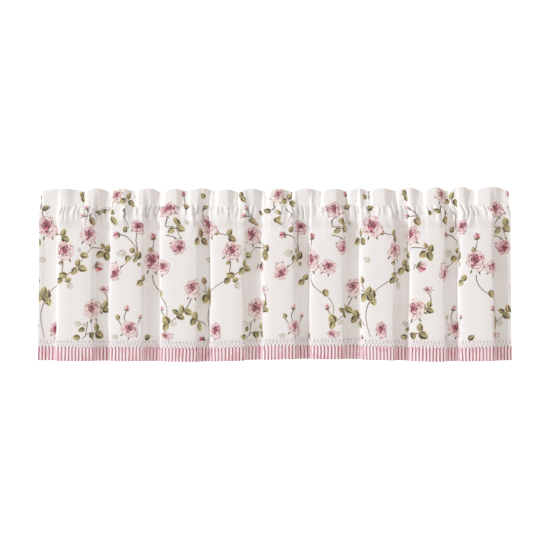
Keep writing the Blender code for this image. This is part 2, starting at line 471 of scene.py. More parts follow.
    def layer_offset(self, level: float, layer: int) -> float:
        """Tells how far a layer of the turned cloth lies off the middle of the two.

        Args:
            level: The distance down the cloth.
            layer: -1 in front, 1 behind, 0 where there is one layer.

        Returns:
            The distance; behind is positive.
        """
        if layer == 0:
            return 0.0
        if level <= HEADING:
            rounded = min(1.0, math.sqrt(level / self.turned_top))
            spread = self.layer_apart + self.layer_spread * float(eased(1.0 - level / HEADING))
            return layer * spread * rounded
        if layer < 0:
            return -self.layer_apart * (1.0 - float(eased((level - HEADING) / self.seam_roll)))
        closing = float(eased((level - self.rod_zone_end) / (SEAM - self.rod_zone_end)))
        return self.layer_apart * (1.0 + closing)

    def height(self, x: Array, level: float) -> Array:
        """Places a row's points in height: the top edge waves and the hem sags.

        Args:
            x: Places along the row.
            level: The distance down the cloth.

        Returns:
            The z at each place.
        """
        if level < HEADING:
            wide = np.clip(x * HEM_HALF_WIDTH / TOP_HALF_WIDTH, LEFT_EDGE, HEM_HALF_WIDTH)
            _, edge = self.bump_shape(wide)
            return -level + edge * (1.0 - level / HEADING)
        places, lower = zip(*self.hem_sag)
        grow = float(eased((level - SEAM) / (DROP - SEAM)))
        return -level - np.interp(x, places, lower) * grow

    def length_at(self, down: float) -> float:
        """The flat width of the cut, as the length of the plan curve at a level."""
        x, y = self.plan(down, 0)
        return float(np.hypot(np.diff(x), np.diff(y)).sum())

    def flat_place(self, x: float, down: float) -> float:
        """The place across the flat cut that hangs at a place across the valance."""
        row = self.points[int(np.abs(self.rows - down).argmin())]
        return float(np.interp(x, row[:, 0], np.linspace(0.0, self.flat_width, self.across)))

    def hang(self, flat: Array, lift: float = 0.0) -> tuple[Array, Array]:
        """Carries points of the flat cut to where they hang.

        Args:
            flat: Points as distance across and distance down from the turned edge.
            lift: How far off the cloth's own face they lie, outwards.

        Returns:
            The hung points and the outward normals there.
        """
        columns = np.clip(flat[:, 0] / self.flat_width, 0.0, 1.0) * (self.across - 1)
        rows = np.interp(flat[:, 1], self.rows, np.arange(len(self.rows)))
        left = np.minimum(columns.astype(int), self.across - 2)
        top = np.minimum(rows.astype(int), len(self.rows) - 2)
        u = (columns - left)[:, None]
        v = (rows - top)[:, None]
        mixed = []
        for grid in (self.points, self.normals):
            upper = grid[top, left] * (1.0 - u) + grid[top, left + 1] * u
            lower = grid[top + 1, left] * (1.0 - u) + grid[top + 1, left + 1] * u
            mixed.append(upper * (1.0 - v) + lower * v)
        normals = mixed[1] / np.linalg.norm(mixed[1], axis=1, keepdims=True)
        return mixed[0] + normals * lift, normals


# The main gathering creases from left to right, in tenths of a millimetre: place, depth, width, reach below
# and above the stitching, and lean. PUCKER_SCALE fits each of the six to the cloth.
PUCKER_CHART = (
    (120, 15, 40, 200, 100, 20), (620, 18, 40, 220, 120, 20), (700, 16, 30, 340, 100, 0),
    (980, 22, 40, 300, 160, 10), (1210, 26, 40, 260, 140, 100), (1360, 30, 40, 400, 180, -60),
    (1500, 30, 40, 440, 160, 60), (1680, 26, 50, 500, 140, -40), (1760, 18, 30, 300, 120, 40),
    (2320, 26, 30, 340, 100, 10), (2620, 18, 40, 200, 120, 50), (2830, 32, 50, 460, 220, 60),
    (2960, 30, 40, 400, 180, -50), (3070, 30, 40, 440, 200, 40), (3180, 24, 40, 340, 160, -40),
    (3520, 16, 40, 180, 120, 30), (3920, 20, 40, 220, 160, 40), (4120, 32, 50, 460, 220, 70),
    (4240, 30, 40, 380, 180, -50), (4360, 32, 40, 500, 200, 20), (4480, 20, 30, 280, 120, -30),
    (4780, 18, 40, 200, 100, 30), (5050, 22, 40, 260, 140, 40), (5320, 20, 40, 240, 120, -30),
    (5560, 28, 50, 400, 160, 30), (5720, 24, 40, 320, 140, -40), (5880, 22, 40, 260, 120, 20),
    (6160, 18, 40, 200, 100, 20), (6480, 22, 40, 260, 120, -20), (6760, 32, 50, 480, 200, 50),
    (6900, 30, 40, 400, 180, -50), (7020, 28, 40, 420, 160, 30), (7220, 18, 40, 220, 120, -20),
    (7560, 20, 40, 220, 120, 30), (7900, 22, 40, 280, 140, -30), (8120, 30, 50, 440, 180, 50),
    (8260, 28, 40, 380, 160, -40), (8420, 26, 40, 360, 140, 30), (8740, 18, 40, 200, 100, 20),
    (9080, 20, 40, 240, 120, -20), (9400, 28, 50, 420, 180, 50), (9540, 30, 40, 400, 160, -50),
    (9680, 24, 40, 340, 140, 30), (10020, 18, 40, 200, 120, -20), (10360, 20, 40, 240, 120, 30),
    (10660, 26, 50, 400, 160, 40), (10800, 30, 40, 420, 180, -50), (10960, 24, 40, 320, 140, 30),
    (11280, 30, 50, 440, 200, 50), (11420, 32, 40, 420, 200, -50), (11540, 28, 40, 360, 160, 30),
    (11880, 18, 40, 220, 120, 20), (12120, 24, 40, 300, 140, -30), (12380, 20, 40, 220, 120, 20),
)
PUCKER_SCALE = (1.0, 3.4, 0.58, 1.3, 0.6, 1.4)


def gathered_puckers() -> list[Pucker]:
    """The gathering creases: the main ones as listed, with small ones worked in between them.

    Returns:
        The puckers, from left to right within each kind.
    """
    puckers = []
    for row in PUCKER_CHART:
        puckers.append(Pucker(*(scale * (value / 10000.0) for scale, value in zip(PUCKER_SCALE, row))))
    draw = random.Random(5)
    place = 0.008
    while place < 2.0 * HEM_HALF_WIDTH - 0.006:
        depth = draw.uniform(0.0006, 0.0014)
        reach = draw.uniform(0.012, 0.034)
        width, lean = draw.uniform(0.0018, 0.003), draw.uniform(-0.003, 0.003)
        puckers.append(Pucker(place, depth, width, reach, 0.5 * reach, lean))
        place += draw.uniform(0.006, 0.013)
    return puckers


@dataclass(frozen=True)
class Ink:
    """A printed tone that runs from one colour near a motif's heart to another at its rim."""

    near: Colour
    far: Colour


def tone(near: tuple[int, int, int], far: tuple[int, int, int]) -> Ink:
    """An ink from its two display colours."""
    return Ink(linear(*near), linear(*far))


@dataclass(frozen=True)
class Patch:
    """One printed shape on the flat cloth: its outline, its ink, and the line the ink runs along."""

    outline: Array
    ink: Ink
    start: Pair
    run: Pair


class BloomKind(Enum):
    """How deep a rose is printed."""

    DEEP = "deep"
    MIDDLE = "middle"
    PALE = "pale"


DEEP, MIDDLE, PALE = BloomKind


class LeafTone(Enum):
    """How a leaf is printed."""

    OLIVE = "olive"
    DARK = "dark"
    BROWN = "brown"
    GHOST = "ghost"


OLIVE, DARK, BROWN, GHOST = LeafTone


@dataclass(frozen=True)
class Bloom:
    """An open rose on the hung cloth: its place, its size as hung, its turn in degrees and its kind."""

    place: float
    down: float
    width: float
    height: float
    turn: float
    kind: BloomKind


@dataclass(frozen=True)
class Bud:
    """A rosebud: the place of its base, its length, and the direction it points, in degrees."""

    place: float
    down: float
    length: float
    aim: float
    kind: BloomKind


@dataclass(frozen=True)
class Leaf:
    """A leaf: the place of its middle, its length, and the direction it points, in degrees."""

    place: float
    down: float
    length: float
    aim: float
    tone: LeafTone


RING_INKS = {
    DEEP: (
        tone((206, 112, 132), (252, 226, 226)),
        tone((174, 44, 82), (246, 190, 200)),
        tone((118, 8, 44), (212, 88, 118)),
    ),
    MIDDLE: (
        tone((226, 162, 164), (253, 242, 238)),
        tone((200, 84, 112), (251, 226, 224)),
        tone((132, 12, 54), (232, 132, 154)),
    ),
    PALE: (
        tone((234, 192, 180), (253, 245, 238)),
        tone((222, 144, 150), (252, 236, 230)),
        tone((150, 26, 66), (236, 158, 170)),
    ),
}
ACCENT_INKS = {
    DEEP: tone((92, 0, 30), (130, 18, 50)),
    MIDDLE: tone((112, 8, 42), (156, 44, 74)),
    PALE: tone((140, 36, 64), (182, 96, 106)),
}
HEART_INK = tone((56, 0, 20), (96, 4, 36))
SHADE_INKS = {
    DEEP: tone((84, 4, 30), (150, 34, 64)),
    MIDDLE: tone((120, 14, 48), (190, 92, 108)),
    PALE: tone((150, 52, 72), (208, 152, 146)),
}
EDGE_INKS = {
    DEEP: tone((146, 26, 60), (192, 92, 110)),
    MIDDLE: tone((172, 62, 86), (212, 140, 142)),
    PALE: tone((194, 118, 120), (220, 178, 164)),
}
GLEAM_INK = tone((253, 242, 240), (255, 252, 250))
LEAF_INKS = {
    OLIVE: (tone((134, 120, 56), (214, 204, 142)), tone((44, 36, 8), (104, 92, 36))),
    DARK: (tone((78, 68, 24), (184, 170, 104)), tone((20, 16, 2), (64, 56, 18))),
    BROWN: (tone((132, 104, 62), (216, 192, 150)), tone((60, 40, 16), (132, 102, 60))),
    GHOST: (tone((214, 212, 196), (238, 236, 226)), tone((200, 200, 180), (228, 226, 210))),
}
LEAF_RIM_INK = tone((206, 194, 136), (240, 232, 190))
MIDRIB_INK = tone((206, 196, 136), (232, 224, 176))
STEM_INK = tone((98, 66, 40), (146, 116, 82))
SEPAL_INK = tone((60, 54, 14), (138, 128, 68))


# The petals of a rose, from its outer ring in: count, reach, half width, notch and frill.
PETAL_RINGS = ((6, 1.0, 0.60, 0.06, 0.04), (5, 0.72, 0.46, 0.08, 0.05), (4, 0.45, 0.30, 0.08, 0.04))
# The marks of a rose's heart: turn in degrees, distance out, length, half width and ink.
HEART_MARKS = (
    (80.0, 0.51, 0.36, 0.060, "gleam"), (205.0, 0.48, 0.42, 0.065, "gleam"),
    (80.0, 0.40, 0.42, 0.075, "deep"), (205.0, 0.36, 0.48, 0.085, "deep"), (320.0, 0.38, 0.38, 0.070, "deep"),
    (150.0, 0.60, 0.42, 0.065, "deep"), (262.0, 0.62, 0.34, 0.050, "soft"), (20.0, 0.24, 0.26, 0.055, "deep"),
    (30.0, 0.15, 0.26, 0.075, "heart"), (150.0, 0.13, 0.24, 0.08, "heart"),
    (265.0, 0.12, 0.20, 0.06, "heart"),
)
# The folded petals of a bud: turn in degrees, length, half width and which of its three inks.
BUD_PETALS = ((24.0, 0.92, 0.30, 0), (-22.0, 0.95, 0.30, 1), (0.0, 1.0, 0.24, 2))


def turned(points: Array, degrees: float) -> Array:
    """Turns flat points about the origin.

    Args:
        points: The points.
        degrees: How far; positive is anticlockwise as seen on the cloth's face.

    Returns:
        The turned points.
    """
    angle = math.radians(degrees)
    x = points[:, 0] * math.cos(angle) - points[:, 1] * math.sin(angle)
    y = points[:, 0] * math.sin(angle) + points[:, 1] * math.cos(angle)
    return np.stack([x, y], axis=1)


def petal_outline(length: float, half_width: float, notch: float, frill: float, phase: float,
                  steps: int = 10) -> Array:
    """A petal that grows from the origin along +x.

    Args:
        length: How far the petal reaches.
        half_width: Half its width where it is widest.
        notch: How deep its rim dips at the tip, as a share of the length.
        frill: How uneven its rim is, as a share of the length.
        phase: Where the unevenness starts.
        steps: How many points it has.

    Returns:
        The outline's points.
    """
    angle = np.linspace(0.0, 2.0 * math.pi, steps, endpoint=False)
    out = 0.5 - 0.5 * np.cos(angle)
    side = np.sin(angle) * (0.62 + 0.5 * out)
    rim = out ** 2
    out = out - notch * rim * np.exp(-(side / 0.35) ** 2) + frill * rim * np.sin(3.0 * angle + phase)
    return np.stack([out * length, side * half_width], axis=1)


def leaf_outline(length: float, half_width: float, teeth: float, steps: int = 7) -> Array:
    """A pointed leaf that grows from the origin along +x, with slightly toothed edges.

    Args:
        length: The leaf's length.
        half_width: Half its width.
        teeth: How far its teeth stand out, as a share of the half width.
        steps: How many points each edge has.

    Returns:
        The outline's points.
    """
    along = np.linspace(0.0, 1.0, steps)
    side = np.sin(math.pi * along ** 0.80) ** 0.72 * half_width
    side[1:-1] += teeth * half_width * (-1.0) ** np.arange(steps - 2)
    upper = np.stack([along * length, side], axis=1)
    lower = np.stack([along[-2:0:-1] * length, -side[-2:0:-1]], axis=1)
    return np.concatenate([upper, lower])


@dataclass(frozen=True)
class BloomPlace:
    """Where a rose is printed.

    spot is its flat place, size its half width and half height, heart the place of its heart in shares
    of those, and radius its mean half size.
    """

    spot: Array
    size: Array
    heart: Array
    radius: float

    def edge(self, aim: float) -> float:
        """Measures from the heart to the rim.

        Args:
            aim: The direction in degrees.

        Returns:
            The distance in shares of the rose's half size.
        """
        toward = np.array([math.cos(math.radians(aim)), math.sin(math.radians(aim))])
        along = float(self.heart @ toward)
        return -along + math.sqrt(max(along ** 2 + 1.0 - float(self.heart @ self.heart), 0.0))


@dataclass
class RosePrint:
    """The trailing rose pattern: one repeat charted on the hung cloth, then repeated on the flat.

    Places are millimetres from the valance's left edge, and downs are millimetres from its top.
    """

    repeat: float = 0.5390
    charted_from_here: float = 480.0
    stem_width: float = 0.0021
    seed: int = 11
    patches: list[Patch] = field(default_factory=list)
    draw: random.Random = field(default_factory=random.Random)
    blooms: tuple[Bloom, ...] = tuple(Bloom(*row) for row in (
        (886, 103, 54, 58, 120, MIDDLE), (514, 168, 48, 54, 85, MIDDLE), (568, 125, 50, 50, 95, MIDDLE),
        (635, 19, 42, 38, 70, PALE), (695, 103, 39, 36, 80, DEEP), (645, 220, 39, 47, 265, MIDDLE),
        (1158, 194, 53, 58, 112, MIDDLE), (767, 209, 44, 42, 50, MIDDLE), (347, 56, 50, 40, 110, MIDDLE),
        (374, 152, 41, 43, 300, DEEP), (472, 376, 31, 42, 90, DEEP), (996, 322, 54, 57, 125, PALE),
        (245, 373, 49, 43, 90, MIDDLE), (412, 265, 46, 52, 110, PALE), (342, 389, 33, 22, 160, MIDDLE),
        (1031, 267, 26, 19, 180, MIDDLE),
    ))
    buds: tuple[Bud, ...] = tuple(Bud(*row) for row in (
        (126, 75, 15, 165, PALE), (134, 56, 13, 130, MIDDLE), (1003, 200, 28, -34, DEEP),
        (220, 122, 20, 190, DEEP), (307, 136, 20, 100, DEEP), (237, 324, 17, 80, PALE),
        (329, 324, 16, 95, MIDDLE), (388, 17, 16, 120, DEEP), (443, 398, 22, 195, DEEP),
        (272, 344, 12, 80, PALE),
    ))
    leaves: tuple[Leaf, ...] = tuple(Leaf(*row) for row in (
        (119, 12, 18, 110, DARK), (124, 27, 20, -60, OLIVE), (226, 33, 22, 200, OLIVE),
        (242, 17, 22, 60, OLIVE), (248, 39, 22, -80, DARK), (22, 52, 20, 25, DARK),
        (71, 116, 22, 62, OLIVE), (76, 134, 23, -28, DARK), (149, 88, 24, -62, BROWN),
        (164, 174, 24, 215, OLIVE), (185, 159, 22, 65, DARK), (182, 179, 26, -75, DARK),
        (171, 151, 16, 120, BROWN), (112, 162, 15, 110, GHOST), (126, 177, 22, -15, OLIVE),
        (109, 196, 20, 75, OLIVE), (121, 212, 26, -20, OLIVE), (99, 219, 23, 235, OLIVE),
        (198, 63, 16, 110, OLIVE), (205, 86, 24, -75, OLIVE), (178, 60, 18, 170, DARK),
        (165, 65, 15, -65, DARK), (253, 163, 18, 55, OLIVE), (268, 177, 23, 60, DARK),
        (240, 186, 20, 245, OLIVE), (259, 190, 14, 230, OLIVE), (270, 201, 12, -80, OLIVE),
        (224, 172, 28, 185, GHOST), (234, 108, 18, 70, DARK), (281, 236, 18, 60, OLIVE),
        (272, 250, 20, 215, OLIVE), (298, 162, 16, 100, OLIVE), (69, 229, 23, 165, OLIVE),
        (60, 244, 21, 230, DARK), (83, 242, 18, 20, OLIVE), (88, 258, 22, -65, GHOST),
        (16, 271, 23, 75, OLIVE), (19, 291, 25, -55, DARK), (179, 305, 18, 75, OLIVE),
        (180, 322, 22, -20, DARK), (161, 314, 20, 175, BROWN), (154, 366, 23, 95, OLIVE),
        (162, 388, 27, -30, DARK), (146, 390, 20, -80, DARK), (118, 374, 19, 200, DARK),
        (105, 394, 20, 175, OLIVE), (125, 360, 15, 120, GHOST), (108, 358, 20, 160, GHOST),
        (214, 340, 15, 115, OLIVE), (289, 394, 20, 30, DARK), (206, 393, 20, 170, GHOST),
        (369, 87, 22, 100, OLIVE), (380, 106, 26, -30, OLIVE), (354, 112, 22, 215, OLIVE),
        (396, 48, 22, 15, BROWN), (430, 116, 26, 95, BROWN), (424, 140, 24, 225, OLIVE),
        (441, 140, 24, -55, DARK), (458, 281, 26, 80, DARK), (444, 291, 25, 250, OLIVE),
        (458, 301, 22, -70, OLIVE), (383, 318, 22, 95, OLIVE), (400, 326, 24, -35, OLIVE),
        (379, 338, 24, -35, DARK), (366, 325, 19, 150, DARK), (341, 348, 27, 115, OLIVE),
        (340, 366, 23, -110, OLIVE), (362, 357, 20, 15, GHOST), (418, 336, 25, 95, OLIVE),
        (412, 351, 22, 240, DARK), (427, 364, 27, -65, OLIVE), (327, 279, 22, -70, OLIVE),
        (12, 188, 22, 160, GHOST), (440, 243, 20, 100, BROWN), (52, 118, 14, 10, BROWN),
        (64, 197, 15, 200, BROWN), (437, 20, 18, 140, OLIVE), (396, 88, 18, 40, GHOST),
    ))
    stems: tuple[tuple[Pair, ...], ...] = (
        ((22, 48), (15, 64), (19, 80)), ((53, 118), (66, 124)),
        ((70, 194), (68, 214), (60, 238), (44, 262), (25, 282)),
        ((22, 292), (10, 320), (8, 352), (18, 396)),
        ((60, 236), (84, 226), (106, 206), (122, 186), (146, 156)), ((146, 156), (166, 158), (180, 166)),
        ((126, 75), (142, 74), (150, 90)), ((134, 56), (142, 74)), ((150, 200), (148, 214)),
        ((220, 122), (238, 128), (256, 148), (264, 162), (250, 184), (226, 206), (212, 218)),
        ((264, 118), (262, 140), (266, 162), (262, 188)), ((231, 54), (233, 71), (237, 87), (242, 106)),
        ((200, 40), (194, 56), (176, 64)), ((246, 8), (240, 30), (246, 44)),
        ((304, 228), (306, 246), (318, 266), (332, 292), (344, 320), (340, 352)),
        ((304, 160), (307, 136)), ((344, 76), (340, 100), (362, 102), (374, 118), (378, 134)),
        ((340, 124), (362, 128), (374, 138)), ((388, 17), (390, 36), (394, 50)),
        ((408, 290), (398, 310), (384, 326), (362, 346), (344, 356)),
        ((438, 270), (448, 276), (456, 292)), ((440, 250), (446, 270)),
        ((134, 352), (132, 372), (128, 392)), ((160, 386), (140, 382), (120, 398)),
        ((172, 272), (182, 284), (182, 306), (166, 318), (152, 320)),
        ((237, 324), (231, 340), (236, 356)), ((272, 344), (268, 358)), ((214, 346), (224, 362)),
        ((329, 324), (336, 336), (344, 348)), ((418, 346), (438, 354), (446, 366)),
        ((427, 124), (436, 128)),
    )

    def chart(self, cloth: HungCloth) -> list[Patch]:
        """Draws every repeat of the pattern on the flat cut.

        Args:
            cloth: The hung cloth, which the charted places are read on.

        Returns:
            The patches in the order they are printed.
        """
        ghosts = [leaf for leaf in self.leaves if leaf.tone is GHOST]
        others = [leaf for leaf in self.leaves if leaf.tone is not GHOST]
        for number in range(-1, int(cloth.flat_width / self.repeat) + 1):
            shift = number * self.repeat
            self.draw = random.Random(self.seed)
            for leaf in ghosts:
                self.draw_leaf(self.spot(cloth, leaf.place, leaf.down, shift), leaf)
            for stem in self.stems:
                self.draw_stem([self.spot(cloth, place, down, shift) for place, down in stem])
            for leaf in others:
                self.draw_leaf(self.spot(cloth, leaf.place, leaf.down, shift), leaf)
            for bud in self.buds:
                self.draw_bud(self.spot(cloth, bud.place, bud.down, shift), bud)
            for bloom in self.blooms:
                self.draw_bloom(self.spot(cloth, bloom.place, bloom.down, shift), bloom)
        return self.patches

    def spot(self, cloth: HungCloth, place: float, down: float, shift: float) -> Array:
        """Finds the flat place of a charted one, brought back to the first repeat and moved along from there.

        Args:
            cloth: The hung cloth.
            place: The charted place, in millimetres.
            down: The charted distance down, in millimetres.
            shift: How far the repeat lies along the cloth.

        Returns:
            The flat place.
        """
        level = down / 1000.0
        across = cloth.flat_place(LEFT_EDGE + place / 1000.0, level)
        if place > self.charted_from_here:
            across = across % self.repeat
        return np.array([across + shift, level])

    def print_shape(self, shape: Array, spot: Array, ink: Ink, run: float) -> None:
        """Adds one shape, given with y up on the cloth's face, as a patch on the flat cut.

        Args:
            shape: The outline about the spot; its first point is where the ink starts.
            spot: The flat place of the shape's own origin.
            ink: The tone.
            run: The length over which the ink changes, from the start away to the shape's middle.
        """
        outline = spot + shape * np.array([1.0, -1.0])
        start = outline[0]
        middle = outline.mean(axis=0) - start
        middle = middle / max(float(np.hypot(*middle)), 1e-6)
        self.patches.append(Patch(outline, ink, tuple(start), tuple(middle / max(run, 1e-6))))

    def draw_stem(self, spots: list[Array]) -> None:
        """Prints a stem.

        Args:
            spots: The flat places that its smooth curve passes through.
        """
        knots = np.array(spots)
        steps = np.linspace(0.0, len(knots) - 1.0, 4 * (len(knots) - 1) + 1)
        line = np.array([self.on_curve(knots, step) for step in steps])
        tangent = np.gradient(line, axis=0)
        tangent = tangent / np.linalg.norm(tangent, axis=1, keepdims=True)
        side = np.stack([-tangent[:, 1], tangent[:, 0]], axis=1)
        half = self.stem_width * (0.65 - 0.25 * np.linspace(0.0, 1.0, len(line)))[:, None]
        outline = np.concatenate([line + side * half, (line - side * half)[::-1]])
        self.patches.append(Patch(outline[::-1], STEM_INK, tuple(line[0]), (12.0, 12.0)))

    @staticmethod
    def on_curve(knots: Array, step: float) -> Array:
        """Finds a point of the smooth curve through some knots.

        Args:
            knots: The knots.
            step: How far along, counted in knots.

        Returns:
            The point.
        """
        index = min(int(step), len(knots) - 2)
        t = step - index
        before, start, end = knots[max(index - 1, 0)], knots[index], knots[index + 1]
        after = knots[min(index + 2, len(knots) - 1)]
        bend = (2.0 * before - 5.0 * start + 4.0 * end - after) * t ** 2
        turn = (3.0 * (start - end) + after - before) * t ** 3
        return 0.5 * (2.0 * start + (end - before) * t + bend + turn)

    def draw_leaf(self, spot: Array, leaf: Leaf) -> None:
        """Prints a leaf: a pale rim, its blade, a darker half and its midrib.

        Args:
            spot: The flat place of its middle.
            leaf: The leaf.
        """
        length = leaf.length / 1000.0
        half = length * self.draw.uniform(0.33, 0.40)
        blade, shade = LEAF_INKS[leaf.tone]
        outline = leaf_outline(length, half, 0.05)
        darker = outline.copy()
        darker[:, 1] = np.where(darker[:, 1] > 0.0, darker[:, 1] * -0.30, darker[:, 1] * 0.97)
        layers = [(outline, blade), (darker * np.array([0.94, 1.0]), shade)]
        if leaf.tone is not GHOST:
            rim = leaf_outline(length * 1.10, half * 1.16, 0.05) - np.array([0.04 * length, 0.0])
            rib = leaf_outline(length * 0.86, half * 0.07, 0.0, 4) + np.array([0.02 * length, 0.0])
            layers = [(rim, LEAF_RIM_INK)] + layers + [(rib, MIDRIB_INK)]
        back = np.array([-0.5 * length, 0.0])
        for shape, ink in layers:
            self.print_shape(turned(shape + back, leaf.aim), spot, ink, length)

    def draw_bud(self, spot: Array, bud: Bud) -> None:
        """Prints a bud: three folded petals held in sepals.

        Args:
            spot: The flat place of its base.
            bud: The bud.
        """
        length = bud.length / 1000.0
        for swing, reach, half, number in BUD_PETALS:
            petal = petal_outline(length * reach, length * half, 0.08, 0.03, swing)
            self.print_shape(turned(petal, bud.aim + swing), spot, RING_INKS[bud.kind][number], length)
        gleam = petal_outline(length * 0.7, length * 0.07, 0.0, 0.0, 0.0) + np.array([0.22 * length, 0.0])
        self.print_shape(turned(gleam, bud.aim + 12.0), spot, GLEAM_INK, length)
        for swing in (-62.0, -24.0, 26.0, 66.0):
            sepal = leaf_outline(length * 0.52, length * 0.085, 0.0, 5)
            self.print_shape(turned(sepal, bud.aim + swing), spot, SEPAL_INK, length * 0.5)

    def draw_bloom(self, spot: Array, bloom: Bloom) -> None:
        """Prints an open rose: rings of broad petals that open out from an off-centre heart.

        Args:
            spot: The flat place of its middle.
            bloom: The rose.
        """
        size = np.array([bloom.width, bloom.height]) / 2000.0
        at = BloomPlace(spot, size, turned(np.array([[0.28, 0.0]]), bloom.turn)[0], float(size.mean()))
        shades = (EDGE_INKS[bloom.kind], SHADE_INKS[bloom.kind], HEART_INK)
        for swing in (138.0, 176.0, 214.0):
            sepal = leaf_outline(0.46, 0.09, 0.0, 5) + np.array([0.86 * at.edge(bloom.turn + swing), 0.0])
            self.print_petal(at, sepal, bloom.turn + swing, SEPAL_INK, 0.5)
        for ring, (count, reach, half, notch, frill) in enumerate(PETAL_RINGS):
            offset = self.draw.uniform(0.0, 360.0 / count)
            for number in sorted(range(count), key=lambda number: self.draw.random()):
                aim = offset + 360.0 * number / count + self.draw.uniform(-12.0, 12.0)
                edge = at.edge(aim) * reach * self.draw.uniform(0.86, 1.05)
                wide = half * self.draw.uniform(0.84, 1.16) * (0.55 + 0.45 * edge)
                phase = self.draw.uniform(0.0, 6.28)
                petal = petal_outline(edge, wide, notch, frill, phase)
                under = petal_outline(edge * 1.05, wide * 1.06, notch, frill, phase)
                swing = self.draw.choice((-13.0, 13.0)) if ring else 4.0
                self.print_petal(at, under, aim + swing, shades[ring], 1.0)
                self.print_petal(at, petal, aim, RING_INKS[bloom.kind][ring], edge * 0.9)
                self.print_strokes(at, edge, wide, aim, bloom.kind, ring)
        self.print_heart(at, bloom)

    def print_heart(self, at: BloomPlace, bloom: Bloom) -> None:
        """Prints the furled heart: dark crescents that wind in around a small pale curl.

        Args:
            at: Where the rose is.
            bloom: The rose.
        """
        deep, soft = ACCENT_INKS[bloom.kind], RING_INKS[bloom.kind][2]
        inks = {"gleam": GLEAM_INK, "deep": deep, "soft": soft, "heart": HEART_INK}
        for turn, far, long, wide, name in HEART_MARKS:
            crescent = turned(leaf_outline(long, wide, 0.0, 5) - np.array([0.5 * long, 0.0]), 90.0)
            aim = bloom.turn + turn + self.draw.uniform(-14.0, 14.0)
            self.print_petal(at, crescent + np.array([far, 0.0]), aim, inks[name], 1.0)
        curl = petal_outline(0.15, 0.05, 0.0, 0.0, 0.0) - np.array([0.03, 0.01])
        self.print_petal(at, curl, bloom.turn - 25.0, RING_INKS[bloom.kind][1], 0.15)
        core = petal_outline(0.12, 0.045, 0.0, 0.04, 1.0) - np.array([0.05, 0.02])
        self.print_petal(at, core, bloom.turn + 70.0, HEART_INK, 1.0)

    def print_strokes(self, at: BloomPlace, edge: float, wide: float, aim: float, kind: BloomKind,
                      ring: int) -> None:
        """Prints the brush strokes on one petal: a pale roll at its rim and deep creases from its base.

        Args:
            at: Where the rose is.
            edge: How far the petal reaches.
            wide: Half its width.
            aim: Its direction in degrees.
            kind: How deep the rose is printed.
            ring: The petal's ring, 0 outermost.
        """
        roll = petal_outline(0.22 * edge, 0.66 * wide, 0.6, 0.0, 0.0, 8) + np.array([0.74 * edge, 0.0])
        if self.draw.random() < 0.7:
            self.print_petal(at, roll, aim, GLEAM_INK, 1.0)
        for lean in (-1.0, 1.0):
            if self.draw.random() < (0.6, 0.35, 0.5)[ring]:
                continue
            long = edge * self.draw.uniform(0.35, 0.60)
            crease = leaf_outline(long, 0.022 * (1.5 + ring), 0.0, 4) + np.array([0.20 * edge, 0.0])
            swing = lean * self.draw.uniform(8.0, 20.0)
            self.print_petal(at, crease, aim + swing, SHADE_INKS[kind] if ring else RING_INKS[kind][1], 0.6)

    def print_petal(self, at: BloomPlace, shape: Array, aim: float, ink: Ink, run: float) -> None:
        """Prints a shape that grows from the heart, all in shares of the bloom's half size."""
        self.print_shape((turned(shape, aim) + at.heart) * at.size, at.spot, ink, run * at.radius)


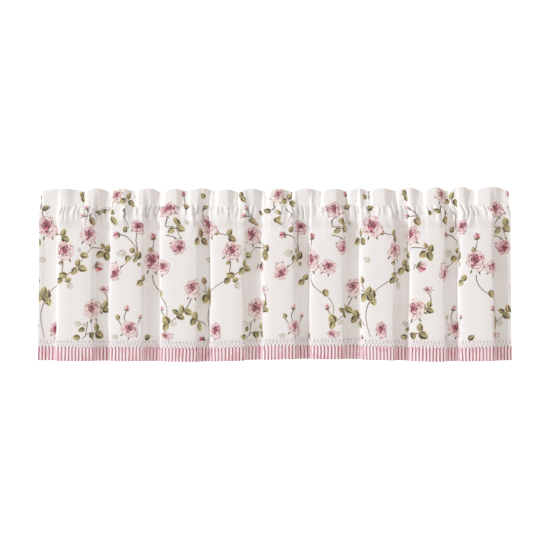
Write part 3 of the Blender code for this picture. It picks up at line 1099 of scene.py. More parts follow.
class Nodes:
    """A material's node tree, with short ways to add the nodes that cloth needs."""

    def __init__(self, name: str) -> None:
        """Starts the material.

        Args:
            name: The material's name.
        """
        self.made = bpy.data.materials.new(name)
        self.made.use_nodes = True
        self.tree = self.made.node_tree
        self.shader = self.tree.nodes["Principled BSDF"]

    def plug(self, node: bpy.types.Node, inputs: dict) -> None:
        """Feeds a node.

        Args:
            node: The node.
            inputs: What each named or numbered input gets: an output, or a plain value.
        """
        for name, value in inputs.items():
            if isinstance(value, Socket):
                self.tree.links.new(value, node.inputs[name])
            else:
                node.inputs[name].default_value = value

    def add(self, kind: str, output: str | int, inputs: dict, **options) -> Socket:
        """Adds a node.

        Args:
            kind: The node's type, without its first word.
            output: Which of its outputs is wanted.
            inputs: What its inputs get.
            options: The node's own options.

        Returns:
            The output.
        """
        node = self.tree.nodes.new("ShaderNode" + kind)
        for option, value in options.items():
            setattr(node, option, value)
        self.plug(node, inputs)
        return node.outputs[output]

    def flat(self) -> Socket:
        """The piece's own flat map, in metres."""
        return self.add("UVMap", "UV", {}, uv_map=FLAT_MAP)

    def place(self) -> Socket:
        """The place on the piece itself."""
        return self.add("TexCoord", "Object", {})

    def ink(self, output: str = "Color") -> Socket:
        """The ink stored on the mesh, or with Alpha, where there is some."""
        return self.add("Attribute", output, {}, attribute_name=INK_LAYER)

    def part(self, vector: Socket, axis: str) -> Socket:
        """One component of a vector."""
        return self.add("SeparateXYZ", axis, {"Vector": vector})

    def math(self, operation: str, first: Socket | float, second: Socket | float = 0.0) -> Socket:
        """A sum, product or other operation on one or two values."""
        return self.add("Math", 0, {0: first, 1: second}, operation=operation)

    def noise(self, place: Socket, scale: float, detail: float = 2.0, roughness: float = 0.5) -> Socket:
        """Smooth noise at a scale in lumps a metre."""
        lumps = {"Vector": place, "Scale": scale, "Detail": detail, "Roughness": roughness}
        return self.add("TexNoise", "Fac", lumps)

    def ramp(self, value: Socket, low: Pair, high: Pair) -> Socket:
        """Maps a value smoothly from the low stop to the high one, each a value and what it becomes."""
        ends = {"Value": value, "From Min": low[0], "From Max": high[0], "To Min": low[1], "To Max": high[1]}
        return self.add("MapRange", "Result", ends, interpolation_type="SMOOTHSTEP")

    def mix(self, amount: Socket | float, first: Socket | Colour, second: Socket | Colour,
            blend: str = "MIX") -> Socket:
        """A mix of two colours, or with MULTIPLY, their product by an amount."""
        return self.add("Mix", 2, {0: amount, 6: first, 7: second}, data_type="RGBA", blend_type=blend)

    def weave(self, pitch: float) -> Socket:
        """Makes the height of a plain weave: warp and weft threads that cross over and under.

        Args:
            pitch: The distance from thread to thread, in metres.

        Returns:
            The height.
        """
        flat = self.flat()
        across, down = (self.math("SINE", self.math("MULTIPLY", self.part(flat, axis), 2.0 * math.pi / pitch))
                        for axis in ("X", "Y"))
        slub = self.noise(flat, 260.0)
        return self.math("ADD", self.math("MULTIPLY", across, down), self.math("MULTIPLY", slub, 1.5))

    def finish(self, colour: Socket, roughness: float, height: Socket, depth: float) -> Material:
        """Plugs the colour and the height into the shader.

        Args:
            colour: The surface colour.
            roughness: The shader's roughness.
            height: The surface's fine height.
            depth: How strongly the height shows.

        Returns:
            The finished material.
        """
        bump = self.add("Bump", "Normal", {"Strength": depth, "Distance": 0.0001, "Height": height})
        self.plug(self.shader, {
            "Base Color": colour, "Roughness": roughness, "Specular IOR Level": 0.25, "Sheen Weight": 0.12,
            "Sheen Roughness": 0.5, "Normal": bump,
        })
        return self.made


@dataclass(frozen=True)
class PrintedCottonFinish:
    """The printed cloth: inks with brushy unevenness on a white plain weave.

    The reverse shows the inks only faintly.
    """

    ground: Colour = linear(248, 247, 246)
    slubs: float = 0.965
    fading: float = 0.20
    wash: Colour = (0.80, 0.74, 0.76, 1.0)
    roughness: float = 0.88
    thread_pitch: float = 0.00042
    weave_depth: float = 0.25
    strength_on_reverse: float = 0.16

    def material(self, name: str, reverse: bool) -> Material:
        """Makes the material.

        Args:
            name: The material's name.
            reverse: Whether it is the unprinted side.

        Returns:
            The material.
        """
        cloth = Nodes(name)
        flat = cloth.flat()
        brush = cloth.ramp(cloth.noise(flat, 420.0, 3.0, 0.6), (0.30, 0.0), (0.72, 1.0))
        wash = cloth.ramp(cloth.noise(flat, 110.0), (0.35, 0.0), (0.70, 1.0))
        faded = cloth.mix(cloth.math("MULTIPLY", brush, self.fading), cloth.ink(), self.ground)
        inked = cloth.ink("Alpha")
        if reverse:
            inked = cloth.math("MULTIPLY", inked, self.strength_on_reverse)
        darker = tuple(self.slubs * value for value in self.ground[:3]) + (1.0,)
        ground = cloth.mix(cloth.ramp(cloth.noise(flat, 900.0), (0.3, 0.0), (0.7, 1.0)), darker, self.ground)
        colour = cloth.mix(inked, ground, cloth.mix(wash, faded, self.wash, "MULTIPLY"))
        return cloth.finish(colour, self.roughness, cloth.weave(self.thread_pitch), self.weave_depth)


@dataclass(frozen=True)
class StripeFinish:
    """The hem band's cloth: fine dusty-pink stripes on white, down the drop."""

    pitch: float = 0.0091
    pink_share: float = 0.62
    waver: float = 0.004
    raggedness: float = 0.05
    blush: Colour = linear(250, 214, 220)
    pink: Colour = linear(222, 160, 173)
    deep: Colour = linear(106, 46, 62)
    faded: Colour = linear(212, 164, 178)
    ground: Colour = linear(255, 252, 252)
    roughness: float = 0.86
    thread_pitch: float = 0.00042
    weave_depth: float = 0.25

    def material(self, name: str) -> Material:
        """Makes the material from the band's own flat map.

        Args:
            name: The material's name.

        Returns:
            The material.
        """
        cloth = Nodes(name)
        flat = cloth.flat()
        waver = cloth.math("MULTIPLY", cloth.noise(flat, 34.0, 1.0), self.waver)
        turns = cloth.math("MULTIPLY", cloth.math("ADD", cloth.part(flat, "X"), waver), 1.0 / self.pitch)
        off_middle = cloth.math("ABSOLUTE", cloth.math("SUBTRACT", cloth.math("FRACT", turns), 0.5))
        ragged = cloth.math("MULTIPLY", cloth.noise(flat, 1600.0), self.raggedness)
        edge = cloth.math("ADD", off_middle, ragged)
        half = self.pink_share / 2.0
        stripe = cloth.ramp(edge, (half - 0.02, 1.0), (half + 0.05, 0.0))
        bordered = cloth.ramp(edge, (half - 0.10, 1.0), (half - 0.04, 0.0))
        middle = cloth.ramp(off_middle, (0.04, 1.0), (0.10, 0.0))
        paler = cloth.ramp(cloth.noise(flat, 13.0, 1.0), (0.44, 0.0), (0.58, 0.62))
        stained = cloth.ramp(cloth.noise(flat, 32.0, 1.0), (0.52, 0.0), (0.66, 0.85))
        pink = cloth.mix(paler, cloth.mix(middle, self.pink, self.deep), self.faded)
        gap = cloth.mix(stained, self.ground, self.blush)
        colour = cloth.mix(stripe, gap, cloth.mix(bordered, self.blush, pink))
        return cloth.finish(colour, self.roughness, cloth.weave(self.thread_pitch), self.weave_depth)


@dataclass(frozen=True)
class YarnFinish:
    """White cotton yarn, for the lace and the sewing."""

    colour: Colour = linear(255, 253, 253)
    # Painted shade: the yarn's colour in the low parts of its twist.
    shade: Colour = linear(249, 243, 244)
    roughness: float = 0.8
    twist_scale: float = 2200.0
    twist_depth: float = 0.35

    def material(self, name: str, painted_hole_shades: bool = False) -> Material:
        """Makes the material: the yarn's twist in its height, and painted shade in its colour where it lies
        low.

        Args:
            name: The material's name.
            painted_hole_shades: Whether the piece carries the ring of painted shade around its holes.

        Returns:
            The material.
        """
        yarn = Nodes(name)
        twist = yarn.noise(yarn.place(), self.twist_scale, 3.0, 0.6)
        # Painted shade: darker where the twist noise, which also makes the bump, lies low.
        colour = yarn.mix(yarn.ramp(twist, (0.35, 0.0), (0.65, 1.0)), self.shade, self.colour)
        # Painted shade around the lace's holes, from the ink stored on the mesh.
        if painted_hole_shades:
            colour = yarn.mix(yarn.ink("Alpha"), colour, yarn.ink())
        return yarn.finish(colour, self.roughness, twist, self.twist_depth)


@dataclass(frozen=True)
class StudioFinish:
    """A plain pale paper surface that is lit from within where it stands behind the valance."""

    colour: Colour = (0.92, 0.92, 0.92, 1.0)
    roughness: float = 0.9
    glow: float = 0.70
    glow_from: float = 0.05
    glow_full: float = 0.50

    def material(self, name: str) -> Material:
        """Makes the material, with its glow rising towards the back.

        Args:
            name: The material's name.

        Returns:
            The material.
        """
        paper = Nodes(name)
        lit = paper.ramp(paper.part(paper.place(), "Y"), (self.glow_from, 0.0), (self.glow_full, 1.0))
        paper.plug(paper.shader, {
            "Base Color": self.colour, "Roughness": self.roughness, "Emission Color": (1.0, 1.0, 1.0, 1.0),
            "Emission Strength": paper.math("MULTIPLY", lit, self.glow),
        })
        return paper.made


def placed(name: str, data: bpy.types.ID) -> bpy.types.Object:
    """Puts a mesh, a lamp or a camera into the scene.

    Args:
        name: The object's name.
        data: What it shows.

    Returns:
        The object.
    """
    made = bpy.data.objects.new(name, data)
    bpy.context.scene.collection.objects.link(made)
    return made


def placed_mesh(name: str, points: Array, faces: list, materials: list[Material]) -> bpy.types.Object:
    """Puts a smooth mesh into the scene.

    Args:
        name: The piece's name.
        points: Its points.
        faces: The numbers of each face's points.
        materials: Its materials.

    Returns:
        The piece.
    """
    mesh = bpy.data.meshes.new(name)
    mesh.from_pydata(points.tolist(), [], faces)
    for material in materials:
        mesh.materials.append(material)
    mesh.shade_smooth()
    return placed(name, mesh)


def map_flat(mesh: bpy.types.Mesh, flat: Array) -> None:
    """Stores where each point lies on the flat cut, in metres, as the mesh's map.

    Args:
        mesh: The mesh.
        flat: The flat place of each of its points.
    """
    corner_points = np.empty(len(mesh.loops), dtype=np.int32)
    mesh.loops.foreach_get("vertex_index", corner_points)
    layer = mesh.uv_layers.new(name=FLAT_MAP)
    layer.data.foreach_set("uv", flat[corner_points].astype(np.float32).ravel())


@dataclass
class FlatSheet:
    """A sheet laid out flat: its corners, its grid, and the shapes printed on it or cut out of it.

    dense_rows are rows that carry dense_columns points each, where the gathers are fine.
    """

    name: str
    low: Pair
    high: Pair
    columns: int
    row_places: Array
    thickness: float
    patches: list[Patch] = field(default_factory=list)
    holes: list[Array] = field(default_factory=list)
    edge: Array | None = None
    dense_rows: Array | None = None
    dense_columns: int = 0
    plain_reverse: bool = False

    def outline(self) -> Array:
        """Draws the sheet's cut edge.

        Returns:
            Its points, all round from the first corner.
        """
        if self.edge is not None:
            return self.edge
        across = np.linspace(self.low[0], self.high[0], self.columns)
        downs = self.row_places[1:-1]
        sides = (
            (across, self.low[1]), (self.high[0], downs),
            (across[::-1], self.high[1]), (self.low[0], downs[::-1]),
        )
        return np.concatenate([np.stack(np.broadcast_arrays(x, down), axis=1) for x, down in sides])

    def inner_grid(self) -> Array:
        """Lays out the grid inside the cut edge.

        Returns:
            Its points.
        """
        grids = []
        for columns, rows in ((self.columns, self.row_places[1:-1]), (self.dense_columns, self.dense_rows)):
            if columns:
                across = np.linspace(self.low[0], self.high[0], columns)[1:-1]
                grids.append(np.stack(np.meshgrid(across, rows), axis=-1).reshape(-1, 2))
        return np.concatenate(grids)

    def meets(self, shape: Array) -> bool:
        """Whether a shape reaches into the sheet."""
        return bool((shape.max(axis=0) > self.low).all() and (shape.min(axis=0) < self.high).all())

    def laid_out(self) -> tuple[Array, Array, Array, Array, list[Patch]]:
        """Triangulates the sheet with its shapes.

        Returns:
            The flat points, whether each is of the plain grid, the triangles, the number of each
            triangle's topmost patch or -1, and the patches that meet the sheet.
        """
        shapes = [self.outline()] + self.holes
        first_patch = len(shapes)
        kept = [patch for patch in self.patches if self.meets(patch.outline)]
        shapes += [patch.outline for patch in kept]
        points = [Vector(point) for shape in shapes for point in shape.tolist()]
        faces = []
        start = 0
        for shape in shapes:
            faces.append(list(range(start, start + len(shape))))
            start += len(shape)
        points += [Vector(point) for point in self.inner_grid().tolist()]
        places, _, triangles, origins, _, owners = delaunay_2d_cdt(points, [], faces, 0, 1e-6, True)
        flat = np.array([tuple(place) for place in places])
        plain = np.array([any(number >= start for number in origin) for origin in origins])
        chosen, tops = [], []
        for triangle, owner in zip(triangles, owners):
            if 0 not in owner or any(0 < number < first_patch for number in owner):
                continue
            top = max(owner)
            chosen.append(triangle)
            tops.append(top - first_patch if top >= first_patch else -1)
        used = np.unique(np.array(chosen))
        index = np.full(len(flat), -1)
        index[used] = np.arange(len(used))
        return flat[used], plain[used], self.faced(flat, np.array(chosen), index), np.array(tops), kept

    @staticmethod
    def faced(flat: Array, triangles: Array, index: Array) -> Array:
        """Turns every triangle clockwise on the flat, so that it faces out once hung, and renumbers it.

        Args:
            flat: The flat points.
            triangles: The triangles.
            index: The new number of each point.

        Returns:
            The triangles in the new numbers.
        """
        corners = flat[triangles]
        first, second = corners[:, 1] - corners[:, 0], corners[:, 2] - corners[:, 0]
        turned_over = first[:, 0] * second[:, 1] - first[:, 1] * second[:, 0] > 0.0
        triangles = triangles.copy()
        triangles[turned_over] = triangles[turned_over][:, ::-1]
        return index[triangles]

    def behind(self, flat: Array, plain: Array, triangles: Array) -> tuple[Array, Array]:
        """Triangulates the reverse from the grid and the rim only, or takes the face's own triangles.

        Args:
            flat: The face's flat points.
            plain: Whether each is of the plain grid.
            triangles: The face's triangles.

        Returns:
            The numbers of the face's points that the reverse has, and its triangles in those.
        """
        if not self.plain_reverse:
            return np.arange(len(flat)), triangles[:, ::-1]
        following = {int(a): int(b) for a, b in self.rim(triangles)}
        loop = [next(iter(following))]
        while following[loop[-1]] != loop[0]:
            loop.append(following[loop[-1]])
        on_rim = np.zeros(len(flat), dtype=bool)
        on_rim[loop] = True
        inner = np.flatnonzero(plain & ~on_rim)
        kept = np.concatenate([np.array(loop[::-1]), inner])
        points = [Vector(point) for point in flat[kept].tolist()]
        _, _, found, origins, _, owners = delaunay_2d_cdt(points, [], [list(range(len(loop)))], 0, 1e-6, True)
        source = np.array([origin[0] for origin in origins])
        inside = np.array([triangle for triangle, owner in zip(found, owners) if owner])
        faced = self.faced(flat[kept], source[inside], np.arange(len(kept)))
        return kept, faced[:, ::-1]

    @staticmethod
    def inked(flat: Array, triangles: Array, tops: Array, printed: list[Patch]) -> Array:
        """The colour at each triangle's corners; alpha is 1 where there is ink.

        Args:
            flat: The flat points.
            triangles: Their triangles.
            tops: Each triangle's topmost patch, or -1.
            printed: The patches.

        Returns:
            One colour for each corner.
        """
        corners = flat[triangles]
        colours = np.zeros((len(triangles), 3, 4))
        colours[:, :, :3] = 1.0
        if not printed:
            return colours
        starts = np.array([patch.start for patch in printed])
        runs = np.array([patch.run for patch in printed])
        near = np.array([patch.ink.near for patch in printed])
        far = np.array([patch.ink.far for patch in printed])
        inked = tops >= 0
        number = tops[inked]
        along = ((corners[inked] - starts[number][:, None, :]) * runs[number][:, None, :]).sum(axis=2)
        share = np.clip(along, 0.0, 1.0)[:, :, None] ** 0.65
        colours[inked] = near[number][:, None, :] * (1.0 - share) + far[number][:, None, :] * share
        return colours

    @staticmethod
    def soaked(colours: Array, triangles: Array, count: int) -> Array:
        """The mean ink around each point, as it shows through on the reverse.

        Args:
            colours: The colours at the face's corners.
            triangles: The face's triangles.
            count: How many points there are.

        Returns:
            One colour for each point.
        """
        total = np.zeros((count, 4))
        alpha = colours[:, :, 3:]
        weighted = np.concatenate([colours[:, :, :3] * alpha, alpha], axis=2)
        np.add.at(total, triangles.ravel(), weighted.reshape(-1, 4))
        uses = np.bincount(triangles.ravel(), minlength=count)[:, None]
        soaked = np.ones((count, 4))
        inked = total[:, 3] > 0.0
        soaked[inked, :3] = total[inked, :3] / total[inked, 3:]
        soaked[:, 3:] = total[:, 3:] / np.maximum(uses, 1)
        return soaked

    def sew(self, cloth: HungCloth, lift: float, materials: list[Material]) -> bpy.types.Object:
        """Makes the hung sheet as a closed mesh of its face, its reverse and its cut edge.

        Args:
            cloth: The hung cloth that carries it.
            lift: How far its middle lies off the cloth's own middle, outwards.
            materials: The face's material and the reverse's.

        Returns:
            The sheet's object.
        """
        flat, plain, triangles, tops, printed = self.laid_out()
        kept, reverse = self.behind(flat, plain, triangles)
        half = self.thickness / 2.0
        face_points, normals = cloth.hang(flat, lift + half)
        back_points, back_normals = cloth.hang(flat[kept], lift - half)
        count = len(flat)
        behind = np.full(count, -1)
        behind[kept] = np.arange(len(kept))
        rim = self.rim(triangles)
        start, end = rim[:, 0], rim[:, 1]
        rim_faces = np.stack([end, start, behind[start] + count, behind[end] + count], axis=1)
        faces = triangles.tolist() + (reverse + count).tolist() + rim_faces.tolist()
        sheet = placed_mesh(self.name, np.concatenate([face_points, back_points]), faces, materials)
        mesh = sheet.data
        slots = np.zeros(len(faces), dtype=np.int32)
        slots[len(triangles):] = len(materials) - 1
        mesh.polygons.foreach_set("material_index", slots)
        map_flat(mesh, np.concatenate([flat, flat[kept]]))
        colours = self.inked(flat, triangles, tops, printed)
        soaked = self.soaked(colours, triangles, count)[kept][reverse]
        self.store_ink(mesh, colours, soaked, len(rim_faces))
        mesh.normals_split_custom_set_from_vertices(np.concatenate([normals, -back_normals]).tolist())
        mesh.update()
        LOG.info("%s: %d triangles on its face, %d behind", self.name, len(triangles), len(reverse))
        return sheet

    @staticmethod
    def rim(triangles: Array) -> Array:
        """Finds the edges that only one triangle has.

        Args:
            triangles: The triangles.

        Returns:
            The edges, each in its triangle's direction.
        """
        edges = np.concatenate([triangles[:, [0, 1]], triangles[:, [1, 2]], triangles[:, [2, 0]]])
        ordered = np.sort(edges, axis=1)
        _, firsts, counts = np.unique(ordered, axis=0, return_index=True, return_counts=True)
        return edges[firsts[counts == 1]]

    @staticmethod
    def store_ink(mesh: bpy.types.Mesh, colours: Array, soaked: Array, rim_count: int) -> None:
        """Stores the ink on the corners of the face, of the reverse and of the bare rim.

        Args:
            mesh: The sheet's mesh.
            colours: The colours at the face's corners.
            soaked: The colours at the reverse's corners.
            rim_count: How many faces the rim has.
        """
        rim = np.ones((rim_count * 4, 4))
        rim[:, 3] = 0.0
        everything = np.concatenate([colours.reshape(-1, 4), soaked.reshape(-1, 4), rim])
        attribute = mesh.color_attributes.new(INK_LAYER, "FLOAT_COLOR", "CORNER")
        attribute.data.foreach_set("color", everything.astype(np.float32).ravel())


@dataclass
class PrintedCloth:
    """The rose-print cloth: its turned and stitched heading, and the panel below it."""

    thickness: float = 0.0009
    columns: int = 371
    gather_columns: int = 921
    turned_rows: tuple[float, ...] = (
        -0.004, -0.0022, -0.001, 0.0, 0.001, 0.0022, 0.004, 0.008, 0.014, 0.020, 0.026, SEAM)

    def build(self, cloth: HungCloth) -> None:
        """Lays the pattern out, then makes both stretches, hangs them on the body and hides their frame
        parts.

        Args:
            cloth: The hung cloth.
        """
        patches = RosePrint().chart(cloth)
        LOG.info("rose print: %d printed shapes", len(patches))
        dress = self.dress()
        turned_over = np.concatenate([np.linspace(-SEAM, -0.007, 14), self.turned_rows])
        gathers = np.concatenate([np.arange(0.031, 0.072, 0.0022), np.arange(0.073, SEAM - 0.002, 0.0042)])
        body = np.concatenate([[SEAM + 0.0003], np.linspace(0.150, BAND_TOP - 0.0003, 17)])
        fading = np.arange(SEAM + 0.004, 0.148, 0.0085)
        for node, rows, dense in (("heading", turned_over, gathers), ("rose_panel", body, fading)):
            low, high = (0.0, float(rows[0])), (cloth.flat_width, float(rows[-1]))
            flat = FlatSheet(f"{node}_cloth", low, high, self.columns, rows, self.thickness, patches,
                             dense_rows=dense, dense_columns=self.gather_columns, plain_reverse=True)
            sheet = flat.sew(cloth, 0.0, dress)
            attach(sheet, BODY)
            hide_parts(node)

    def dress(self) -> list[Material]:
        """The finish of the printed face and of the reverse."""
        finish = PrintedCottonFinish()
        return [finish.material("rose_print_face", False), finish.material("rose_print_reverse", True)]


@dataclass
class StripeBand:
    """The striped band: a strip folded double along the hem."""

    columns: int = 1261
    half_thickness: float = 0.0009
    roll: float = 0.0016
    sharp_above: float = 55.0

    def build(self, cloth: HungCloth) -> None:
        """Args:
            cloth: The hung cloth.
        """
        around = self.section()
        across = np.linspace(0.0, cloth.flat_width, self.columns)
        flat = [np.stack([across, np.full_like(across, down)], axis=1) for down, _ in around]
        points = [cloth.hang(ring, lift)[0] for ring, (_, lift) in zip(flat, around)]
        count, wide = len(around), self.columns
        faces = []
        for ring in range(count):
            base, top = ring * wide, (ring + 1) % count * wide
            faces += [(base + i, top + i, top + i + 1, base + i + 1) for i in range(wide - 1)]
        faces.append(tuple(ring * wide for ring in range(count))[::-1])
        faces.append(tuple(ring * wide + wide - 1 for ring in range(count)))
        band = placed_mesh("stripe_band_cloth", np.concatenate(points), faces, self.dress())
        map_flat(band.data, np.concatenate(flat))
        band.data.set_sharp_from_angle(angle=math.radians(self.sharp_above))
        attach(band, BODY)
        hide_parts("stripe_band")

    def section(self) -> list[Pair]:
        """Draws the band's section: down the face, round the fold and up the back.

        Returns:
            Distances down the cloth and off it.
        """
        half = self.half_thickness
        bend = DROP - self.roll
        angles = [math.pi * step / 6.0 for step in range(1, 6)]
        fold = [(bend + self.roll * math.sin(angle), half * math.cos(angle)) for angle in angles]
        face = [(down, half) for down in np.linspace(BAND_TOP, bend, 6)]
        return face + fold + [(down, -half) for down in np.linspace(bend, BAND_TOP, 6)]

    def dress(self) -> list[Material]:
        """The finish of the striped cloth."""
        return [StripeFinish().material("pink_stripe_cloth")]


@dataclass
class LaceTrim:
    """The cotton lace over the joint: a scalloped strip with rows of worked holes.

    Each row is its distance down, its holes' half width and half height, its shift along in repeats, and
    the width of the ring of painted shade around each hole.
    """

    pitch: float = 0.0094
    scallop: float = 0.0013
    rows: tuple[tuple[float, float, float, float, float], ...] = (
        (0.0036, 0.00110, 0.00090, 0.0, 0.00080),
        (0.0076, 0.00085, 0.00085, 0.25, 0.00025),
        (0.0076, 0.00085, 0.00085, 0.75, 0.00025),
        (0.0110, 0.00070, 0.00070, 0.0, 0.00055),
        (0.0110, 0.00060, 0.00060, 0.5, 0.00025),
        (0.0156, 0.00110, 0.00090, 0.5, 0.00080),
    )
    # Painted shade: the inks of the dark ring around each hole, standing in for the shade seen in it.
    painted_hole_shades: tuple[Ink, ...] = (
        tone((66, 54, 66), (106, 92, 102)),
        tone((104, 88, 102), (150, 134, 146)),
        tone((150, 134, 148), (196, 184, 194)),
    )
    inset: float = 0.0010
    columns: int = 480
    seed: int = 23
    thickness: float = 0.0006
    lift: float = 0.0018

    def build(self, cloth: HungCloth) -> None:
        """Args:
            cloth: The hung cloth.
        """
        wide = cloth.flat_width - 2.0 * self.inset
        repeats = int(wide / self.pitch)
        low, high = (self.inset, LACE_TOP), (cloth.flat_width - self.inset, LACE_TOP + LACE_WIDTH)
        rows = np.linspace(LACE_TOP, LACE_TOP + LACE_WIDTH, 5)
        lace = FlatSheet("lace_trim_strip", low, high, self.columns, rows, self.thickness)
        lace.edge = self.edge_line(low, high, repeats, wide / repeats)
        lace.holes, lace.patches = self.holes(low, repeats, wide / repeats)
        made = lace.sew(cloth, self.lift, self.dress())
        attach(made, BODY)
        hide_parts("lace_trim")

    def edge_line(self, low: Pair, high: Pair, repeats: int, pitch: float) -> Array:
        """Draws the lace's outline, with a small scallop on each repeat of both long edges.

        Args:
            low: The lace's first corner.
            high: Its last corner.
            repeats: How many repeats it has.
            pitch: The length of a repeat.

        Returns:
            The outline's points.
        """
        places = low[0] + pitch * np.arange(0.0, repeats + 0.01, 0.25)
        wave = self.scallop * (1.0 - np.abs(np.sin(np.pi * (places - low[0]) / pitch)))
        upper = np.stack([places, low[1] + wave], axis=1)
        return np.concatenate([upper, np.stack([places, high[1] - wave], axis=1)[::-1]])

    def holes(self, low: Pair, repeats: int, pitch: float) -> tuple[list[Array], list[Patch]]:
        """Draws the worked holes of every repeat and the ring of painted shade around each.

        Args:
            low: The lace's first corner.
            repeats: How many repeats it has.
            pitch: The length of a repeat.

        Returns:
            The holes' outlines and the patches of painted shade around them.
        """
        angle = np.linspace(0.0, 2.0 * math.pi, 7, endpoint=False)
        ring = np.stack([np.cos(angle), np.sin(angle)], axis=1)
        found, painted_hole_shades = [], []
        pick = random.Random(self.seed)
        # The last column of each row is the width of its ring of painted shade.
        for down, half_width, half_height, shift, worked in self.rows:
            for number in range(repeats):
                half = np.array([half_width, half_height]) * pick.uniform(0.78, 1.06)
                drawn = np.array([pick.uniform(-0.0006, 0.0006), pick.uniform(-0.0003, 0.0003)])
                # Painted shade: each hole gets a dark ring in one of these inks.
                ink = pick.choice(self.painted_hole_shades)
                centre = np.array([low[0] + pitch * (number + 0.5 + shift), low[1] + down]) + drawn
                if centre[0] < low[0] + pitch * (repeats - 0.2):
                    found.append(centre + ring * half)
                    painted_hole_shades.append(Patch(centre + ring * (half + worked), ink, tuple(centre), (0.0, 1.0)))
        return found, painted_hole_shades

    def dress(self) -> list[Material]:
        """The finish of the lace's yarn."""
        return [YarnFinish().material("lace_yarn", True)]


@dataclass
class Sewing:
    """The rows of machine stitches that hold the heading, the pocket, the lace and the side hems."""

    pitch: float = 0.0034
    length: float = 0.0025
    half_width: float = 0.00028
    end: float = 0.004
    face_lift: float = 0.00055
    lace_lift: float = 0.0022
    lace_inset: float = 0.0018

    def build(self, cloth: HungCloth) -> None:
        """Makes all the stitches as one joined mesh, each a short stretched bead.

        Args:
            cloth: The hung cloth.
        """
        face, lace, end = self.face_lift, self.lace_lift, self.end
        across = ((HEADING, face), (-HEADING, face), (SEAM - 0.0012, face), (-SEAM + 0.004, face),
                  (LACE_TOP + self.lace_inset, lace), (LACE_TOP + LACE_WIDTH - self.lace_inset, lace))
        unit, ball = self.bead()
        run, drop = (self.length, 0.0), (0.0, self.length)
        beads = []
        for down, lift in across:
            places = np.arange(end, cloth.flat_width - end, self.pitch)
            beads += [self.stitch(cloth, unit, (place, down), run, lift) for place in places]
        for place in (SIDE_HEM - 0.0015, cloth.flat_width - SIDE_HEM + 0.0015):
            upper = np.arange(0.006, HEADING - end, self.pitch)
            downs = np.concatenate([upper, np.arange(HEADING + end, BAND_TOP - 0.016, self.pitch)])
            beads += [self.stitch(cloth, unit, (place, down), drop, face) for down in downs]
        starts = range(0, len(unit) * len(beads), len(unit))
        faces = [tuple(corner + start for corner in side) for start in starts for side in ball]
        stitches = placed_mesh("machine_stitches", np.concatenate(beads), faces, self.dress())
        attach(stitches, BODY)

    @staticmethod
    def bead() -> tuple[Array, list[tuple[int, ...]]]:
        """Models one stitch as a low ball.

        Returns:
            Its unit points, with its long axis first, and its faces.
        """
        bpy.ops.object.select_all(action="DESELECT")
        bpy.ops.mesh.primitive_uv_sphere_add(segments=6, ring_count=4, radius=1.0, location=(0.0, 0.0, 0.0))
        ball = bpy.context.active_object
        points = np.array([tuple(vertex.co) for vertex in ball.data.vertices])
        faces = [tuple(polygon.vertices) for polygon in ball.data.polygons]
        bpy.data.objects.remove(ball)
        return points[:, [2, 0, 1]], faces

    def stitch(self, cloth: HungCloth, unit: Array, place: Pair, run: Pair, lift: float) -> Array:
        """Lays one stitch on the cloth.

        Args:
            cloth: The hung cloth.
            unit: The bead's unit points.
            place: The flat place of its middle.
            run: The stitch's flat length, across and down.
            lift: How far its middle lies off the cloth's middle.

        Returns:
            The stitch's points.
        """
        ends = np.array([place, place]) + np.array([[-0.5], [0.5]]) * np.array([run])
        points, normals = cloth.hang(ends, lift)
        along = (points[1] - points[0]) / 2.0
        normal = normals[0]
        side = np.cross(normal, along)
        side = side / np.linalg.norm(side) * self.half_width
        middle = points.mean(axis=0)
        return middle + unit[:, :1] * along + unit[:, 1:2] * side + unit[:, 2:] * normal * self.half_width

    def dress(self) -> list[Material]:
        """The finish of the sewing thread."""
        return [YarnFinish().material("sewing_thread")]


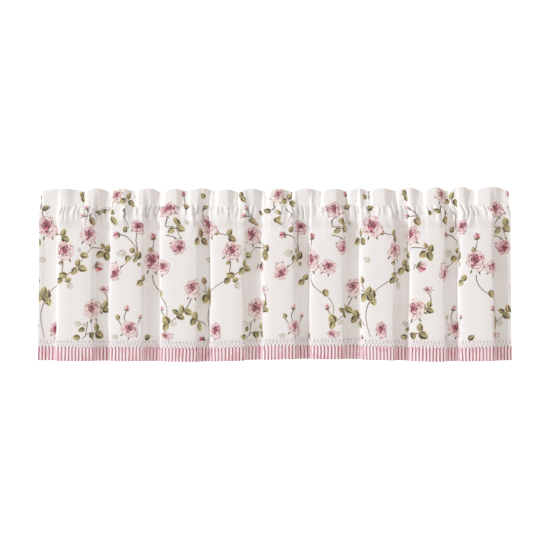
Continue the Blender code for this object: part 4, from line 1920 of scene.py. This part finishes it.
@dataclass
class Studio:
    """A plain white studio: a floor that sweeps up into a backdrop, soft lights and the camera."""

    view_width: float = 1.4553
    view_height_at: float = -0.2284
    lens: float = 100.0
    sensor: float = 36.0
    floor_at: float = -1.05
    floor_from: float = -30.0
    wall_at: float = 5.6
    wall_top: float = 20.0
    half_width: float = 30.0
    sweep: float = 0.6
    key_strength: float = 1.60
    key_colour: tuple[float, float, float] = (0.89, 0.945, 1.0)
    key_softness: float = 7.0
    key_aside: float = 62.0
    key_above: float = 10.0
    key_away: float = 4.0
    room_colour: Colour = (1.0, 0.93, 0.888, 1.0)
    room_strength: float = 0.70

    def build(self) -> None:
        """Makes the backdrop, the lights and the camera."""
        bpy.context.scene.view_settings.view_transform = "Standard"
        self.backdrop()
        self.lights()
        self.camera()

    def backdrop(self) -> None:
        """Sweeps a profile of floor, bend and wall sideways into one surface."""
        profile = [(self.floor_from, self.floor_at)]
        for angle in (math.radians(degrees) for degrees in range(0, 91, 9)):
            y = self.wall_at - self.sweep + self.sweep * math.sin(angle)
            profile.append((y, self.floor_at + self.sweep - self.sweep * math.cos(angle)))
        profile.append((self.wall_at, self.wall_top))
        points = np.array([(side, y, z) for side in (-self.half_width, self.half_width) for y, z in profile])
        count = len(profile)
        faces = [(i, i + count, i + count + 1, i + 1) for i in range(count - 1)]
        sweep = placed_mesh("studio_sweep", points, faces, self.dress())
        sweep.visible_diffuse = False

    def dress(self) -> list[Material]:
        """The finish of the backdrop."""
        return [StudioFinish().material("studio_paper")]

    def lights(self) -> None:
        """Lights a soft key from far to the left, in a pale room."""
        data = bpy.data.lights.new("key_light", "SUN")
        data.energy = self.key_strength
        data.color = self.key_colour
        data.angle = math.radians(self.key_softness)
        aside, above = math.radians(self.key_aside), math.radians(self.key_above)
        level = math.cos(above)
        toward = Vector((math.sin(aside) * level, math.cos(aside) * level, -math.sin(above)))
        lamp = placed("key_light", data)
        lamp.location = -self.key_away * toward
        lamp.rotation_euler = toward.to_track_quat("-Z", "Y").to_euler()
        world = bpy.data.worlds.new("studio_room")
        bpy.context.scene.world = world
        world.use_nodes = True
        background = world.node_tree.nodes["Background"]
        background.inputs["Color"].default_value = self.room_colour
        background.inputs["Strength"].default_value = self.room_strength

    def camera(self) -> None:
        """Stands the camera level and straight on, with a long lens."""
        data = bpy.data.cameras.new("front_camera")
        data.lens = self.lens
        data.sensor_width = self.sensor
        data.sensor_fit = "HORIZONTAL"
        camera = placed("front_camera", data)
        camera.location = (0.0, -self.view_width * self.lens / self.sensor, self.view_height_at)
        camera.rotation_euler = (math.radians(90.0), 0.0, 0.0)
        bpy.context.scene.camera = camera


def main() -> None:
    """Builds the valance's pieces in order, then the studio around them."""
    logging.basicConfig(level=logging.INFO, format="%(name)s: %(message)s")
    cloth = HungCloth()
    LOG.info("flat width %.3f m", cloth.flat_width)
    for piece in (PrintedCloth(), StripeBand(), LaceTrim(), Sewing()):
        piece.build(cloth)
        LOG.info("built %s", type(piece).__name__)
    Studio().build()


if __name__ == "__main__":
    main()
